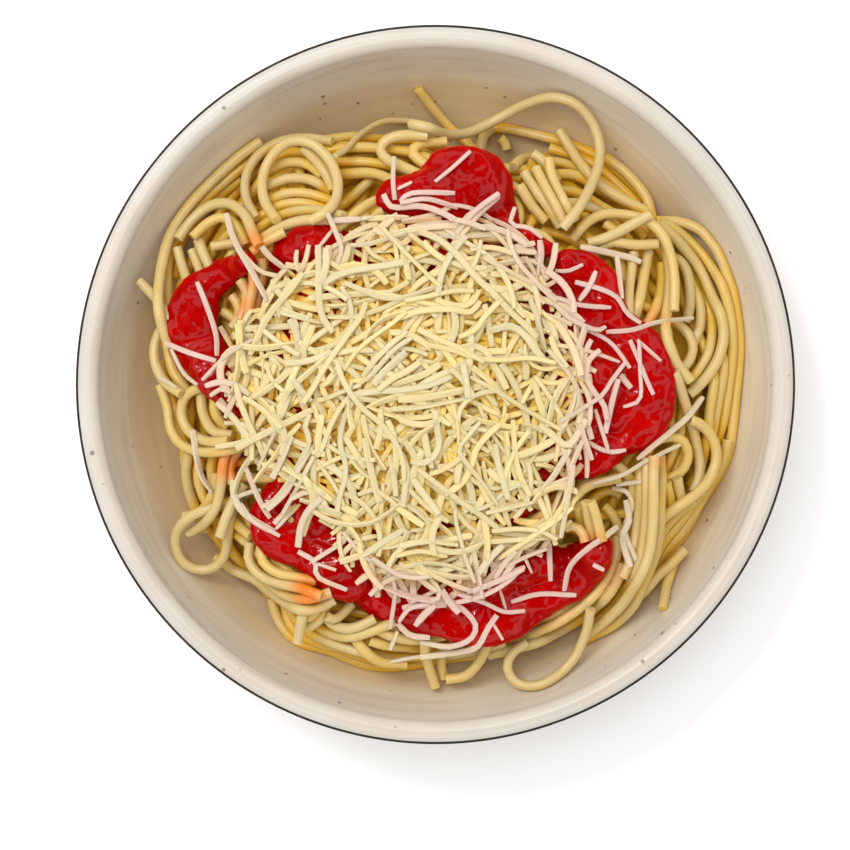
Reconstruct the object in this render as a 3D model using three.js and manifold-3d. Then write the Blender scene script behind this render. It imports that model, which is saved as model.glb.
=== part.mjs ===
// A deep stoneware plate of spaghetti with a ring of ketchup and a pile of grated cheese.
// Millimetres, +Z up. The origin is the centre of the plate's foot, where it meets the table.
// +Y is the side of the plate on which the big loose loop of spaghetti leans.
// A bearing is measured in degrees from +X towards +Y, and a reach is a distance from the plate's axis.

import * as THREE from "three";
import { mergeVertices } from "three/addons/utils/BufferGeometryUtils.js";
import Module from "manifold-3d";

const wasm = await Module();
wasm.setup();

// Plate
const PLATE_DIAMETER = 190;
const FOOT_INNER_RADIUS = 38;
const FOOT_OUTER_RADIUS = 42;
const FOOT_RECESS = 2.5;
const FOOT_BEVEL = 1.5;
const FLOOR_RADIUS = 40;
const FLOOR_HEIGHT = 7;
const WALL_REACH = 49; // the inner wall is a quarter of an ellipse of these two half axes
const WALL_RISE = 44;
const WALL_END_ANGLE = 80; // where the wall meets the lip, in degrees round that ellipse
const OUTER_WALL_REACH = 50;
const OUTER_WALL_RISE = 43;
const OUTER_WALL_END_ANGLE = 76;
const LIP_WIDTH = 6.2;
const LIP_BASE_HEIGHT = 45.2;
const LIP_CROWN = 3.4;
const PLATE_SEGMENTS = 60;

// Heap of spaghetti
const STRAND_DIAMETER = 2.8;
const HEAP_RADIUS = 79;
const HEAP_EDGE_HEIGHT = 27;
const HEAP_HEIGHT = 50;
const HEAP_ROUNDNESS = 0.8;
const STRAND_LAYER = 3.4; // how far the core lies under the strands that show
const LAYER_INNER_REACH = 46;
const LAYER_OUTER_REACH = 62;
const CORE_RADIUS = 73.5;
const CORE_SEGMENTS = 32;
const STRAND_SIDES = 6;
const STRAND_STEP = 10; // a strand has a facet at least this often, and at every turn of this much
const STRAND_TURN = 34;

// Ketchup, a wavy ring squeezed out in thick lobes
const KETCHUP_INNER_REACH = 25;
const KETCHUP_WAIST = 42;
const KETCHUP_THICKNESS = 3.6;
const KETCHUP_EDGE = 5.5; // how far in from its edge the ketchup reaches its full thickness
const KETCHUP_LOBES = [
  { bearing: 30, reach: 54, spread: 16 },
  { bearing: 54, reach: 49, spread: 18 },
  { bearing: 84, reach: 62.5, spread: 20 },
  { bearing: 101, reach: 56, spread: 10 },
  { bearing: 139, reach: 57, spread: 15 },
  { bearing: 165, reach: 70.5, spread: 19 },
  { bearing: 186, reach: 53, spread: 11 },
  { bearing: 206, reach: 54.5, spread: 15 },
  { bearing: 226, reach: 60, spread: 14 },
  { bearing: 247, reach: 61, spread: 18 },
  { bearing: 281, reach: 67.5, spread: 22 },
  { bearing: 309, reach: 64.5, spread: 12 },
  { bearing: 357, reach: 63, spread: 22 },
];
const KETCHUP_SEGMENTS = 60;
const KETCHUP_RINGS = [0, 0.04, 0.14, 0.4, 0.7, 0.92, 1];

// Grated cheese
const CHEESE_CENTRE = new THREE.Vector2(-6, -3);
const CHEESE_RADIUS = 47;
const CHEESE_HEIGHT = 61;
const CHEESE_EDGE_HEIGHT = 43;
const CHEESE_SEGMENTS = 24;
const CHEESE_RINGS = [0.4, 0.7, 0.9, 1];
const SHRED_WIDTH = 1.9;
const SHRED_LENGTHS = [15, 27];
const SHRED_COUNT = 29;
const SHRED_STEPS = 3;
const SHRED_SEED = 11;

const CLEARANCE = 0.4; // between pieces that rest on each other
const PLATE_CLEARANCE = 0.6; // the same, over the plate's curved and faceted wall

const radians = THREE.MathUtils.degToRad;

// Height of the plate's inner surface at a distance from the axis.
function wallHeight(reach) {
  const along = Math.max(0, reach - FLOOR_RADIUS) / WALL_REACH;
  return FLOOR_HEIGHT + WALL_RISE * (1 - Math.sqrt(Math.max(0, 1 - along * along)));
}

// Steepness of the same surface, as rise over run.
function wallSlope(reach) {
  const along = Math.min(0.995, Math.max(0, reach - FLOOR_RADIUS) / WALL_REACH);
  return ((WALL_RISE / WALL_REACH) * along) / Math.sqrt(1 - along * along);
}

// Height at which something of a given radius lies on the plate's inner surface.
function heightOnWall(reach, radius) {
  return wallHeight(reach) + radius * Math.hypot(1, wallSlope(reach));
}

// Height of the heap where its top strands show.
function heapHeight(reach) {
  const inside = Math.max(0, 1 - (reach / HEAP_RADIUS) ** 2);
  return HEAP_EDGE_HEIGHT + (HEAP_HEIGHT - HEAP_EDGE_HEIGHT) * inside ** HEAP_ROUNDNESS;
}

// Height of the bare core that carries those strands and the toppings.
function coreHeight(reach) {
  return heapHeight(reach) - STRAND_LAYER * THREE.MathUtils.smoothstep(reach, LAYER_INNER_REACH, LAYER_OUTER_REACH);
}

// How far the ketchup comes out at a bearing: its lobes, run together.
function ketchupReach(bearing) {
  const sharpness = 4;
  const sum = KETCHUP_LOBES.reduce((total, lobe) => {
    const turn = THREE.MathUtils.euclideanModulo(bearing - lobe.bearing + 180, 360) - 180;
    const push = (lobe.reach - KETCHUP_WAIST) * Math.exp(-(Math.abs(turn / lobe.spread) ** 3));
    return total + push ** sharpness;
  }, 0);
  return KETCHUP_WAIST + sum ** (1 / sharpness);
}

// Height of the top of the ketchup, which bulges from its edges as a thick drop does.
function ketchupHeight(reach, bearing) {
  const toEdge = Math.min(reach - KETCHUP_INNER_REACH, ketchupReach(bearing) - reach);
  const flatness = 1 - THREE.MathUtils.clamp(toEdge / KETCHUP_EDGE, 0, 1);
  const full = KETCHUP_THICKNESS + heapHeight(reach) - coreHeight(reach);
  return coreHeight(reach) + full * Math.sqrt(1 - flatness * flatness);
}

// A closed mesh as a solid for cutting and joining.
function solidOf(geometry) {
  const bare = geometry.index ? geometry.toNonIndexed() : geometry.clone();
  const positions = new THREE.BufferGeometry().setAttribute("position", bare.getAttribute("position"));
  const merged = mergeVertices(positions, 1e-3);
  return new wasm.Manifold(
    new wasm.Mesh({
      numProp: 3,
      vertProperties: merged.attributes.position.array,
      triVerts: new Uint32Array(merged.index.array),
    }),
  );
}

// A solid as a geometry, keeping only its largest body, so that no loose scrap is left.
function geometryOf(solid) {
  const largest = solid.decompose().reduce((best, body) => (body.volume() > best.volume() ? body : best));
  const mesh = largest.getMesh();
  const geometry = new THREE.BufferGeometry();
  geometry.setAttribute("position", new THREE.BufferAttribute(new Float32Array(mesh.vertProperties), 3));
  geometry.setIndex(new THREE.BufferAttribute(new Uint32Array(mesh.triVerts), 1));
  geometry.computeVertexNormals();
  return geometry;
}

// A closed profile of (reach, height) points turned round the Z axis.
function turned(profile, segments) {
  const points = profile.map(([reach, height]) => new THREE.Vector2(reach, height));
  return new THREE.LatheGeometry(points, segments).rotateX(Math.PI / 2);
}

// Points round a stretch of an ellipse, from one angle to another in degrees.
function ellipseArc(centre, halfAxes, from, to, steps) {
  return Array.from({ length: steps + 1 }, (_, step) => {
    const angle = radians(from + ((to - from) * step) / steps);
    return [centre[0] + halfAxes[0] * Math.sin(angle), centre[1] - halfAxes[1] * Math.cos(angle)];
  });
}

// The plate: a foot ring, a rounded outer wall, a thick rolled lip and a bowl-like inside.
function plateGeometry() {
  const rim = PLATE_DIAMETER / 2;
  const lipCentre = [rim - LIP_WIDTH / 2, LIP_BASE_HEIGHT];
  const outerStart = FOOT_OUTER_RADIUS + FOOT_BEVEL;
  const outerCentre = [outerStart, FOOT_RECESS + OUTER_WALL_RISE];
  const innerCentre = [FLOOR_RADIUS, FLOOR_HEIGHT + WALL_RISE];
  return turned(
    [
      [0, FOOT_RECESS],
      [FOOT_INNER_RADIUS - FOOT_BEVEL, FOOT_RECESS],
      [FOOT_INNER_RADIUS, 0],
      [FOOT_OUTER_RADIUS, 0],
      ...ellipseArc(outerCentre, [OUTER_WALL_REACH, OUTER_WALL_RISE], 0, OUTER_WALL_END_ANGLE, 6),
      ...ellipseArc(lipCentre, [LIP_WIDTH / 2, LIP_CROWN], 90, 270, 5),
      ...ellipseArc(innerCentre, [WALL_REACH, WALL_RISE], WALL_END_ANGLE, 0, 7),
      [0, FLOOR_HEIGHT],
    ],
    PLATE_SEGMENTS,
  );
}

// The packed middle of the heap, grown all round by a margin where it serves as a cutting tool.
function coreSolid(margin = 0) {
  const edge = CORE_RADIUS + margin;
  const underside = [0, FLOOR_RADIUS, 52, 62, 69, edge].map((reach) => [
    reach,
    heightOnWall(reach, PLATE_CLEARANCE) - margin,
  ]);
  const top = [edge, 72, 69, 65, 60, 54, 47, 39, 30, 20, 0].map((reach) => [reach, coreHeight(reach) + margin]);
  return solidOf(turned([...underside, ...top], CORE_SEGMENTS));
}

// A closed skin over a polar grid: rings of corners, each a function of its ring and its segment.
function ringedSolid(rings, segments, corner, closesOnAxis) {
  const positions = [];
  const quad = (a, b, c, d) => positions.push(a, c, b, a, d, c);
  const at = (ring, segment) => corner(ring, segment % segments);
  for (let segment = 0; segment < segments; segment += 1) {
    for (let ring = 0; ring < rings - 1; ring += 1) {
      quad(at(ring, segment), at(ring + 1, segment), at(ring + 1, segment + 1), at(ring, segment + 1));
    }
    if (closesOnAxis) {
      const [low, high] = closesOnAxis;
      positions.push(low, at(0, segment + 1), at(0, segment));
      positions.push(high, at(rings - 1, segment), at(rings - 1, segment + 1));
    } else {
      quad(at(rings - 1, segment), at(0, segment), at(0, segment + 1), at(rings - 1, segment + 1));
    }
  }
  return solidOf(new THREE.BufferGeometry().setFromPoints(positions));
}

// The ring of ketchup down to inside the core, which is then cut away from under it.
function ketchupBlob(margin = 0) {
  const depth = 3;
  const corner = (ring, segment) => {
    const bearing = (360 * segment) / KETCHUP_SEGMENTS;
    const inner = KETCHUP_INNER_REACH - margin;
    const outer = ketchupReach(bearing) + margin;
    const onTop = ring < KETCHUP_RINGS.length;
    const share = onTop ? 1 - KETCHUP_RINGS[ring] : ring - KETCHUP_RINGS.length;
    const reach = inner + (outer - inner) * share;
    const inside = THREE.MathUtils.clamp(reach, KETCHUP_INNER_REACH, ketchupReach(bearing));
    const height = onTop ? ketchupHeight(inside, bearing) + CLEARANCE + margin : coreHeight(reach) - depth;
    return new THREE.Vector3(reach * Math.cos(radians(bearing)), reach * Math.sin(radians(bearing)), height);
  };
  return ringedSolid(KETCHUP_RINGS.length + 2, KETCHUP_SEGMENTS, corner);
}

// Height of the pile of cheese at a share of the way from its middle to its edge.
function cheeseHeight(share) {
  return CHEESE_EDGE_HEIGHT + (CHEESE_HEIGHT - CHEESE_EDGE_HEIGHT) * Math.max(0, 1 - share ** 2.2) ** 0.75;
}

// The packed middle of the pile of cheese, down to inside what carries it.
function cheeseBlob() {
  const bottom = 34;
  const corner = (ring, segment) => {
    const bearing = radians((360 * segment) / CHEESE_SEGMENTS);
    const share = ring === 0 ? 1 : CHEESE_RINGS[CHEESE_RINGS.length - ring];
    const ripple = 1 + 0.05 * Math.sin(3 * bearing + 1) + 0.035 * Math.sin(7 * bearing);
    const reach = CHEESE_RADIUS * share * ripple;
    return new THREE.Vector3(
      CHEESE_CENTRE.x + reach * Math.cos(bearing),
      CHEESE_CENTRE.y + reach * Math.sin(bearing),
      ring === 0 ? bottom : cheeseHeight(share),
    );
  };
  const onAxis = (height) => new THREE.Vector3(CHEESE_CENTRE.x, CHEESE_CENTRE.y, height);
  return ringedSolid(CHEESE_RINGS.length + 1, CHEESE_SEGMENTS, corner, [onAxis(bottom), onAxis(CHEESE_HEIGHT)]);
}

// A closed bar of a regular section along a curve.
function barSolid(curve, radius, sides, steps) {
  const section = new THREE.Shape(
    Array.from({ length: sides }, (_, side) => {
      const angle = (2 * Math.PI * (side + 0.5)) / sides;
      return new THREE.Vector2(radius * Math.cos(angle), radius * Math.sin(angle));
    }),
  );
  return solidOf(new THREE.ExtrudeGeometry(section, { extrudePath: curve, steps, curveSegments: 1 }));
}

// The point at a bearing and a reach, in plan.
function atBearing(bearing, reach) {
  return new THREE.Vector2(reach * Math.cos(radians(bearing)), reach * Math.sin(radians(bearing)));
}

// The plan of a strand that runs along the edge of the heap from one bearing to another, given its reach
// at even steps between them.
function run(from, to, ...reaches) {
  const turn = (to - from) / (reaches.length - 1);
  const track = new THREE.SplineCurve(reaches.map((reach, step) => new THREE.Vector2(from + turn * step, reach)));
  return track.getPoints(24).map((place) => atBearing(place.x, place.y));
}

// The plan of a strand that curls round part of an ellipse, from one angle to another.
function curl([x, y], [halfWidth, halfHeight], from, to) {
  return Array.from({ length: 17 }, (_, step) => {
    const angle = radians(from + ((to - from) * step) / 16);
    return new THREE.Vector2(x + halfWidth * Math.cos(angle), y + halfHeight * Math.sin(angle));
  });
}

// The plan of a loose end: it leaves a point at a heading and turns evenly along its length.
function looseEnd([x, y], heading, length, bend) {
  const plan = [new THREE.Vector2(x, y)];
  const steps = 6;
  for (let step = 0; step < steps; step += 1) {
    const onward = atBearing(heading + (bend * (step + 0.5)) / steps, length / steps);
    plan.push(plan[step].clone().add(onward));
  }
  return plan;
}

// The plan of a big loop that leans out over the wall, given the places that it passes.
function loop(...places) {
  return new THREE.SplineCurve(places.map(([x, y]) => new THREE.Vector2(x, y))).getPoints(24);
}

// The strands that show, each with the number of strands that its middle lies over and how far it is
// lifted clear: first the loops and curls, then the runs along the edge, then the loose ends. Each one
// starts or ends in the core.
const STRANDS = [
  { over: 2, lift: 4, plan: loop([5, 67], [20, 74.5], [34, 77.5], [44, 65], [41, 51], [35, 42]) },
  { over: 1, lift: 1, plan: loop([42, -62], [40, -70], [33, -79], [23, -81], [19.5, -76], [24, -71]) },
  { over: 1, lift: 1, plan: loop([66, -2], [69, -9], [75, -14], [77, -22], [72, -30], [62, -37]) },
  { over: 2, lift: 1, plan: curl([-39, 52], [13, 14], 205, -20) },
  { over: 1, lift: 0, plan: curl([-38, 49], [9, 12], 195, 10) },
  { over: 1, lift: 1, plan: curl([-58, 38], [10, 10.5], 165, 10) },
  { over: 1, lift: 1, plan: curl([-63, -43.5], [7.2, 7], 75, -250) },
  { over: 1, lift: 0, plan: curl([-8, 62.5], [6.5, 4], 60, 290) },
  { over: 1, lift: 0, plan: run(119, 172, 70, 81.5, 80.5, 82, 80, 76) },
  { over: 1, lift: 0, plan: run(167, 199, 73, 77, 73.5, 71.5, 57) },
  { over: 0, lift: 0, plan: run(178, 196, 69, 70, 66) },
  { over: 0, lift: 0, plan: run(196, 213, 69, 72, 73) },
  { over: 1, lift: 0, plan: run(219, 241, 63, 69.5, 69, 66) },
  { over: 0, lift: 0, plan: run(232, 270, 73, 79, 79, 78, 76) },
  { over: 1, lift: 0, plan: run(241, 273, 71, 76, 74, 71) },
  { over: 0, lift: 0, plan: run(-86, -21, 74.2, 75.3, 76.5, 72, 62) },
  { over: 1, lift: 0, plan: run(-66, -18, 78, 79.5, 76.5, 69, 64) },
  { over: 1, lift: 0, plan: run(-70, -22, 72, 73.5, 72.5, 66, 59.5) },
  { over: 0, lift: 0, plan: run(36, -20, 74.5, 84, 84.8, 84.2, 83.5, 82.2, 80) },
  { over: 1, lift: 0, plan: run(37, -1, 74, 77, 78, 79, 73) },
  { over: 1, lift: 0, plan: run(39, 1, 74, 73, 69, 65.5, 68) },
  { over: 0, lift: 0, plan: run(28, 5, 70, 74.5, 74, 71, 69) },
  { over: 0, lift: 0, plan: run(80, 38, 67, 73, 75.5, 76.5, 75) },
  { over: 0, lift: 0, plan: run(114, 91, 66, 72.5, 71) },
  { over: 1, lift: 0, plan: run(118, 97, 66, 67.5, 64) },
  { over: 1, lift: 0, plan: looseEnd([-80.5, 27.5], -45, 15, 60) },
  { over: 0, lift: 0, plan: looseEnd([-70, 37], -85, 15, 10) },
  { over: 0, lift: 0, plan: looseEnd([-64.5, 39], -70, 12, 15) },
  { over: 1, lift: 0, plan: looseEnd([-5, 80], -52, 18, 8) },
  { over: 1, lift: 0, plan: looseEnd([26.5, 62], -65, 20, 4) },
  { over: 0, lift: 0, plan: looseEnd([22, 59], -60, 18, 0) },
  { over: 1, lift: 0, plan: looseEnd([33, 69], -60, 32, 28) },
  { over: 1, lift: 0, plan: looseEnd([58.5, 46], 196, 22, 14) },
  { over: 0, lift: 0, plan: looseEnd([60, 38.5], 184, 14, 5) },
  { over: 0, lift: 0, plan: looseEnd([57, 36], -94, 18, -10) },
  { over: 1, lift: 0, plan: looseEnd([68, -45], -136, 19, -4) },
  { over: 1, lift: 0, plan: looseEnd([61.5, -60], 76, 16, -10) },
  { over: 0, lift: 0, plan: looseEnd([0, -83], 104, 16, -8) },
  { over: 0, lift: 0, plan: looseEnd([5, -80.5], 28, 18, 50) },
  { over: 0, lift: 0, plan: looseEnd([-38, -70], 84, 10, 6) },
];

// True where a point keeps clear of the ketchup and the cheese by a margin.
function isClearOfToppings(point, margin) {
  const bearing = THREE.MathUtils.radToDeg(Math.atan2(point.y, point.x));
  const reach = Math.hypot(point.x, point.y);
  const toCheese = Math.hypot(point.x - CHEESE_CENTRE.x, point.y - CHEESE_CENTRE.y);
  return reach > ketchupReach(bearing) + margin && toCheese > CHEESE_RADIUS * 1.1 + margin;
}

// The longest stretch of points that all pass a test.
function longestRun(points, passes) {
  let best = [];
  let run = [];
  for (const point of points) {
    run = passes(point) ? [...run, point] : [];
    best = run.length > best.length ? run : best;
  }
  return best;
}

// How much a plan turns in all, in degrees.
function totalTurn(plan) {
  let turn = 0;
  for (let index = 2; index < plan.length; index += 1) {
    const before = plan[index - 1].clone().sub(plan[index - 2]);
    const after = plan[index].clone().sub(plan[index - 1]);
    turn += Math.abs(Math.atan2(before.cross(after), before.dot(after)));
  }
  return THREE.MathUtils.radToDeg(turn);
}

// The centre line of a strand: its plan laid over the core and the wall of the plate, bridging dips.
function strandLine({ over, lift, plan }) {
  const radius = STRAND_DIAMETER / 2;
  const flat = new THREE.CatmullRomCurve3(plan.map((place) => new THREE.Vector3(place.x, place.y, 0)));
  const steps = Math.max(3, Math.ceil(flat.getLength() / STRAND_STEP), Math.ceil(totalTurn(plan) / STRAND_TURN));
  const points = longestRun(flat.getSpacedPoints(steps), (point) => isClearOfToppings(point, radius + 1));
  const lowest = points.map((point, index) => {
    const reach = Math.hypot(point.x, point.y);
    const onCore = reach < CORE_RADIUS ? coreHeight(reach) + radius * 0.5 : 0;
    const onWall = heightOnWall(reach, radius + PLATE_CLEARANCE);
    const middleness = Math.sin((Math.PI * index) / Math.max(1, points.length - 1));
    return Math.max(onCore, onWall) + (over * radius + lift) * Math.sqrt(Math.max(0, middleness));
  });
  const heights = lowest.map((height, index) => {
    const before = lowest[Math.max(0, index - 1)];
    const after = lowest[Math.min(lowest.length - 1, index + 1)];
    return Math.max(height, (before + after) / 2);
  });
  points.forEach((point, index) => point.setZ(heights[index]));
  return points;
}

// The heap: its core with the strands that show fused on.
function spaghettiSolid() {
  const strands = STRANDS.map(strandLine)
    .filter((points) => points.length > 2)
    .map((points) => {
      const curve = new THREE.CatmullRomCurve3(points, false, "centripetal");
      return barSolid(curve, STRAND_DIAMETER / 2, STRAND_SIDES, points.length - 1);
    });
  return wasm.Manifold.union([coreSolid(), ...strands]);
}

// Numbers from 0 to 1 in a fixed order, so that the pile of cheese is the same each time.
function seededRandom(seed) {
  let state = seed;
  return () => {
    state = (Math.imul(state, 1664525) + 1013904223) >>> 0;
    return state / 4294967296;
  };
}

// Height of what carries the cheese at a place in plan: the core of the heap, or the ketchup on it.
function carrierHeight(x, y) {
  const reach = Math.hypot(x, y);
  const bearing = THREE.MathUtils.radToDeg(Math.atan2(y, x));
  const onKetchup = reach > KETCHUP_INNER_REACH && reach < ketchupReach(bearing);
  return onKetchup ? ketchupHeight(reach, bearing) + CLEARANCE : coreHeight(reach);
}

// The shreds that show on the pile of cheese: bent strips, laid every way, spread evenly over it.
function shredSolids(width) {
  const random = seededRandom(SHRED_SEED);
  const goldenAngle = Math.PI * (3 - Math.sqrt(5));
  return Array.from({ length: SHRED_COUNT }, (_, index) => {
    const share = Math.sqrt((index + 0.5) / SHRED_COUNT);
    const bearing = index * goldenAngle;
    const heading = random() * 2 * Math.PI;
    const bend = (random() - 0.5) * 1.2;
    const length = SHRED_LENGTHS[0] + (SHRED_LENGTHS[1] - SHRED_LENGTHS[0]) * random();
    const reach = CHEESE_RADIUS * 0.95 * share;
    const middle = new THREE.Vector2(Math.cos(bearing), Math.sin(bearing)).multiplyScalar(reach).add(CHEESE_CENTRE);
    const points = [-0.5, -0.25, 0, 0.25, 0.5].map((along) => {
      const direction = heading + bend * along;
      const x = middle.x + along * length * Math.cos(direction);
      const y = middle.y + along * length * Math.sin(direction);
      const toEdge = Math.hypot(x - CHEESE_CENTRE.x, y - CHEESE_CENTRE.y) / CHEESE_RADIUS;
      const onPile = cheeseHeight(Math.min(1, toEdge)) + SHRED_WIDTH * 0.3;
      return new THREE.Vector3(x, y, Math.max(onPile, carrierHeight(x, y) + SHRED_WIDTH));
    });
    return barSolid(new THREE.CatmullRomCurve3(points), width / Math.SQRT2, 4, SHRED_STEPS);
  });
}

// The pile of cheese: its packed middle with shreds fused on, cut clear of what carries it.
function cheeseSolid(spaghetti) {
  const wide = shredSolids(SHRED_WIDTH + 2 * CLEARANCE);
  const shreds = shredSolids(SHRED_WIDTH).filter((_, index) => wide[index].intersect(spaghetti).volume() === 0);
  return wasm.Manifold.union([cheeseBlob(), ...shreds])
    .subtract(coreSolid(CLEARANCE))
    .subtract(ketchupBlob(2 * CLEARANCE));
}

// A named piece with its own finish.
function piece(name, geometry, finish) {
  const mesh = new THREE.Mesh(geometry, new THREE.MeshStandardMaterial({ flatShading: true, ...finish }));
  mesh.name = name;
  return mesh;
}

const spaghetti = spaghettiSolid();
const ketchup = ketchupBlob().subtract(coreSolid(CLEARANCE));
const cheese = cheeseSolid(spaghetti);

const plateOfSpaghetti = new THREE.Group();
plateOfSpaghetti.name = "plate_of_spaghetti";
plateOfSpaghetti.add(
  piece("plate", plateGeometry(), { color: 0xddd5c6, roughness: 0.35, metalness: 0 }),
  piece("spaghetti", geometryOf(spaghetti), { color: 0xecc987, roughness: 0.45, metalness: 0 }),
  piece("ketchup", geometryOf(ketchup), { color: 0xb00a08, roughness: 0.15, metalness: 0 }),
  piece("grated_cheese", geometryOf(cheese), { color: 0xf1e6b4, roughness: 0.5, metalness: 0 }),
);

export default plateOfSpaghetti;
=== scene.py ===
"""A deep stoneware plate of spaghetti, with a ring of ketchup and a pile of grated cheese.

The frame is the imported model's: the origin is the centre of the plate's foot, on the table, +Z is up, and
+Y is the side on which the big loose loop of spaghetti leans. Blender works in metres. The sizes below are in
millimetres, and MM turns them to metres where a mesh or a pattern is made. A bearing is measured in degrees
from +X towards +Y, and a reach is a distance from the plate's axis. Routes of strands are given in plan, as
they would lie at ROUTE_HEIGHT.
"""

import logging
import math
from dataclasses import dataclass, field
from enum import Enum
from typing import Callable, Iterator, Sequence

import bpy
import numpy as np
from mathutils import Matrix, Vector


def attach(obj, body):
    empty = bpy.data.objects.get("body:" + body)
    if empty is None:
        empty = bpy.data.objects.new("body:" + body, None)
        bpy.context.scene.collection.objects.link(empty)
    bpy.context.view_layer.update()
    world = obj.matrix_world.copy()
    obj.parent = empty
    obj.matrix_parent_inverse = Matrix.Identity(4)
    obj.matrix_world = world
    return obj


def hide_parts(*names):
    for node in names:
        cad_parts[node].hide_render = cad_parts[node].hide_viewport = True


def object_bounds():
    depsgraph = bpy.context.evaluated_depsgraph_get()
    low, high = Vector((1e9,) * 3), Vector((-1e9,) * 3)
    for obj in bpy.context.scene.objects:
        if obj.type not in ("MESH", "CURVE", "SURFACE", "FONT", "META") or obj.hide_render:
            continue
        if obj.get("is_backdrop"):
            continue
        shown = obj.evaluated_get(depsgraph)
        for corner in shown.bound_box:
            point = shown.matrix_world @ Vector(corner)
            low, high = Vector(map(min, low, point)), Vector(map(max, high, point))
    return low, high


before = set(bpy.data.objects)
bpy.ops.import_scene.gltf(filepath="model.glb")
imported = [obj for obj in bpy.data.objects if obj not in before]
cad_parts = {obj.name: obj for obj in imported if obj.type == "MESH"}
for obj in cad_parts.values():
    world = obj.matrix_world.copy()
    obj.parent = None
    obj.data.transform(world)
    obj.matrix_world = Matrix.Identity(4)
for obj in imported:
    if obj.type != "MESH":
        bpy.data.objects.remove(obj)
CAD_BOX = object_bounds()

MM = 0.001
ROUTE_HEIGHT = 30.0
BRIDGING_PASSES = 5
EASING = 0.35
PARALLAX_REACH = 6
PARALLAX_PASSES = 2
OUTLINE_STEP = 2.0
OUTLINE_BLUR = 4
SPAN_SAMPLES = 12
CURL_SAMPLES = 40
log = logging.getLogger("plate_of_spaghetti")

Place = tuple[float, float]
Tree = bpy.types.NodeTree
Socket = bpy.types.NodeSocket
Material = bpy.types.Material
Piece = bpy.types.Object


class Shading(Enum):
    """How the faces of a finished piece meet."""

    ROUND = math.radians(180)
    ROUND_WITH_CUT_ENDS = math.radians(66)
    CREASED = math.radians(38)


def linear(colour: str) -> tuple[float, float, float, float]:
    """Turns an sRGB hex colour to linear light.

    Args:
        colour: six hex digits, such as "f0c878".

    Returns:
        Red, green, blue and an alpha of 1.
    """
    channels = [int(colour[start : start + 2], 16) / 255 for start in (0, 2, 4)]
    light = [c / 12.92 if c <= 0.04045 else ((c + 0.055) / 1.055) ** 2.4 for c in channels]
    return (light[0], light[1], light[2], 1.0)


def add_node(tree: Tree, kind: str, inputs: dict | None = None, **settings: object) -> bpy.types.Node:
    """Adds a node with its settings and links.

    Args:
        tree: the material's nodes.
        kind: the node's type, such as "ShaderNodeTexNoise".
        inputs: for each input, by name or place, its value or the output that feeds it.
        settings: the node's own settings.

    Returns:
        The new node.
    """
    node = tree.nodes.new(kind)
    for name, value in settings.items():
        setattr(node, name, value)
    for name, value in (inputs or {}).items():
        if isinstance(value, Socket):
            tree.links.new(value, node.inputs[name])
        else:
            node.inputs[name].default_value = value
    return node


def object_place(tree: Tree) -> Socket:
    """Reads where a point lies in the frame."""
    return add_node(tree, "ShaderNodeTexCoord").outputs["Object"]


def marked(tree: Tree, mark: str) -> Socket:
    """Reads a value that each point of the mesh carries."""
    return add_node(tree, "ShaderNodeAttribute", attribute_name=mark).outputs["Fac"]


def clouds(tree: Tree, place: Socket, size: float, detail: float, **inputs: float) -> Socket:
    """Adds an uneven pattern from 0 to 1, whose patches are about a size in millimetres."""
    inputs = {"Vector": place, "Scale": 1 / (size * MM), "Detail": detail, **inputs}
    return add_node(tree, "ShaderNodeTexNoise", inputs).outputs[0]


def maths(tree: Tree, operation: str, *values: Socket | float) -> Socket:
    """Works out one sum, such as "MULTIPLY", from its values in their order."""
    return add_node(tree, "ShaderNodeMath", dict(enumerate(values)), operation=operation).outputs[0]


def ranged(
    tree: Tree, value: Socket, start: float, end: float, low: float = 0.0, high: float = 1.0
) -> Socket:
    """Turns a value from start to end into one from low to high."""
    return add_node(tree, "ShaderNodeMapRange", {0: value, 1: start, 2: end, 3: low, 4: high}).outputs[0]


def blended(tree: Tree, share: Socket, first: object, second: object) -> Socket:
    """Blends two colours, each a socket or linear light, by the share of the second."""
    colours = {"Factor": share, "A": first, "B": second}
    return add_node(tree, "ShaderNodeMix", colours, data_type="RGBA").outputs["Result"]


def three_tones(tree: Tree, share: Socket, middle: float, colours: Sequence[str]) -> Socket:
    """Goes through three hex colours as a share rises from 0 to 1, with the second one at the middle."""
    ramp = add_node(tree, "ShaderNodeValToRGB", {0: share})
    ramp.color_ramp.elements.new(middle)
    for element, colour in zip(ramp.color_ramp.elements, colours):
        element.color = linear(colour)
    return ramp.outputs[0]


def bumped(tree: Tree, height: Socket, strength: float, distance: float) -> Socket:
    """Tilts the surface as if a pattern stood out by a distance in millimetres."""
    inputs = {"Height": height, "Strength": strength, "Distance": distance * MM}
    return add_node(tree, "ShaderNodeBump", inputs).outputs[0]


def new_material(name: str) -> Material:
    """Makes a material with an empty node tree."""
    material = bpy.data.materials.new(name)
    material.use_nodes = True
    material.node_tree.nodes.clear()
    return material


def give_surface(material: Material, inputs: dict) -> Material:
    """Adds the shader with its inputs to a material, and returns the material."""
    shader = add_node(material.node_tree, "ShaderNodeBsdfPrincipled", inputs)
    add_node(material.node_tree, "ShaderNodeOutputMaterial", {"Surface": shader.outputs[0]})
    return material


def placed(name: str, data: bpy.types.ID) -> Piece:
    """Makes an object of a mesh, a light or a camera, and puts it in the scene."""
    item = bpy.data.objects.new(name, data)
    bpy.context.scene.collection.objects.link(item)
    return item


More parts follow.
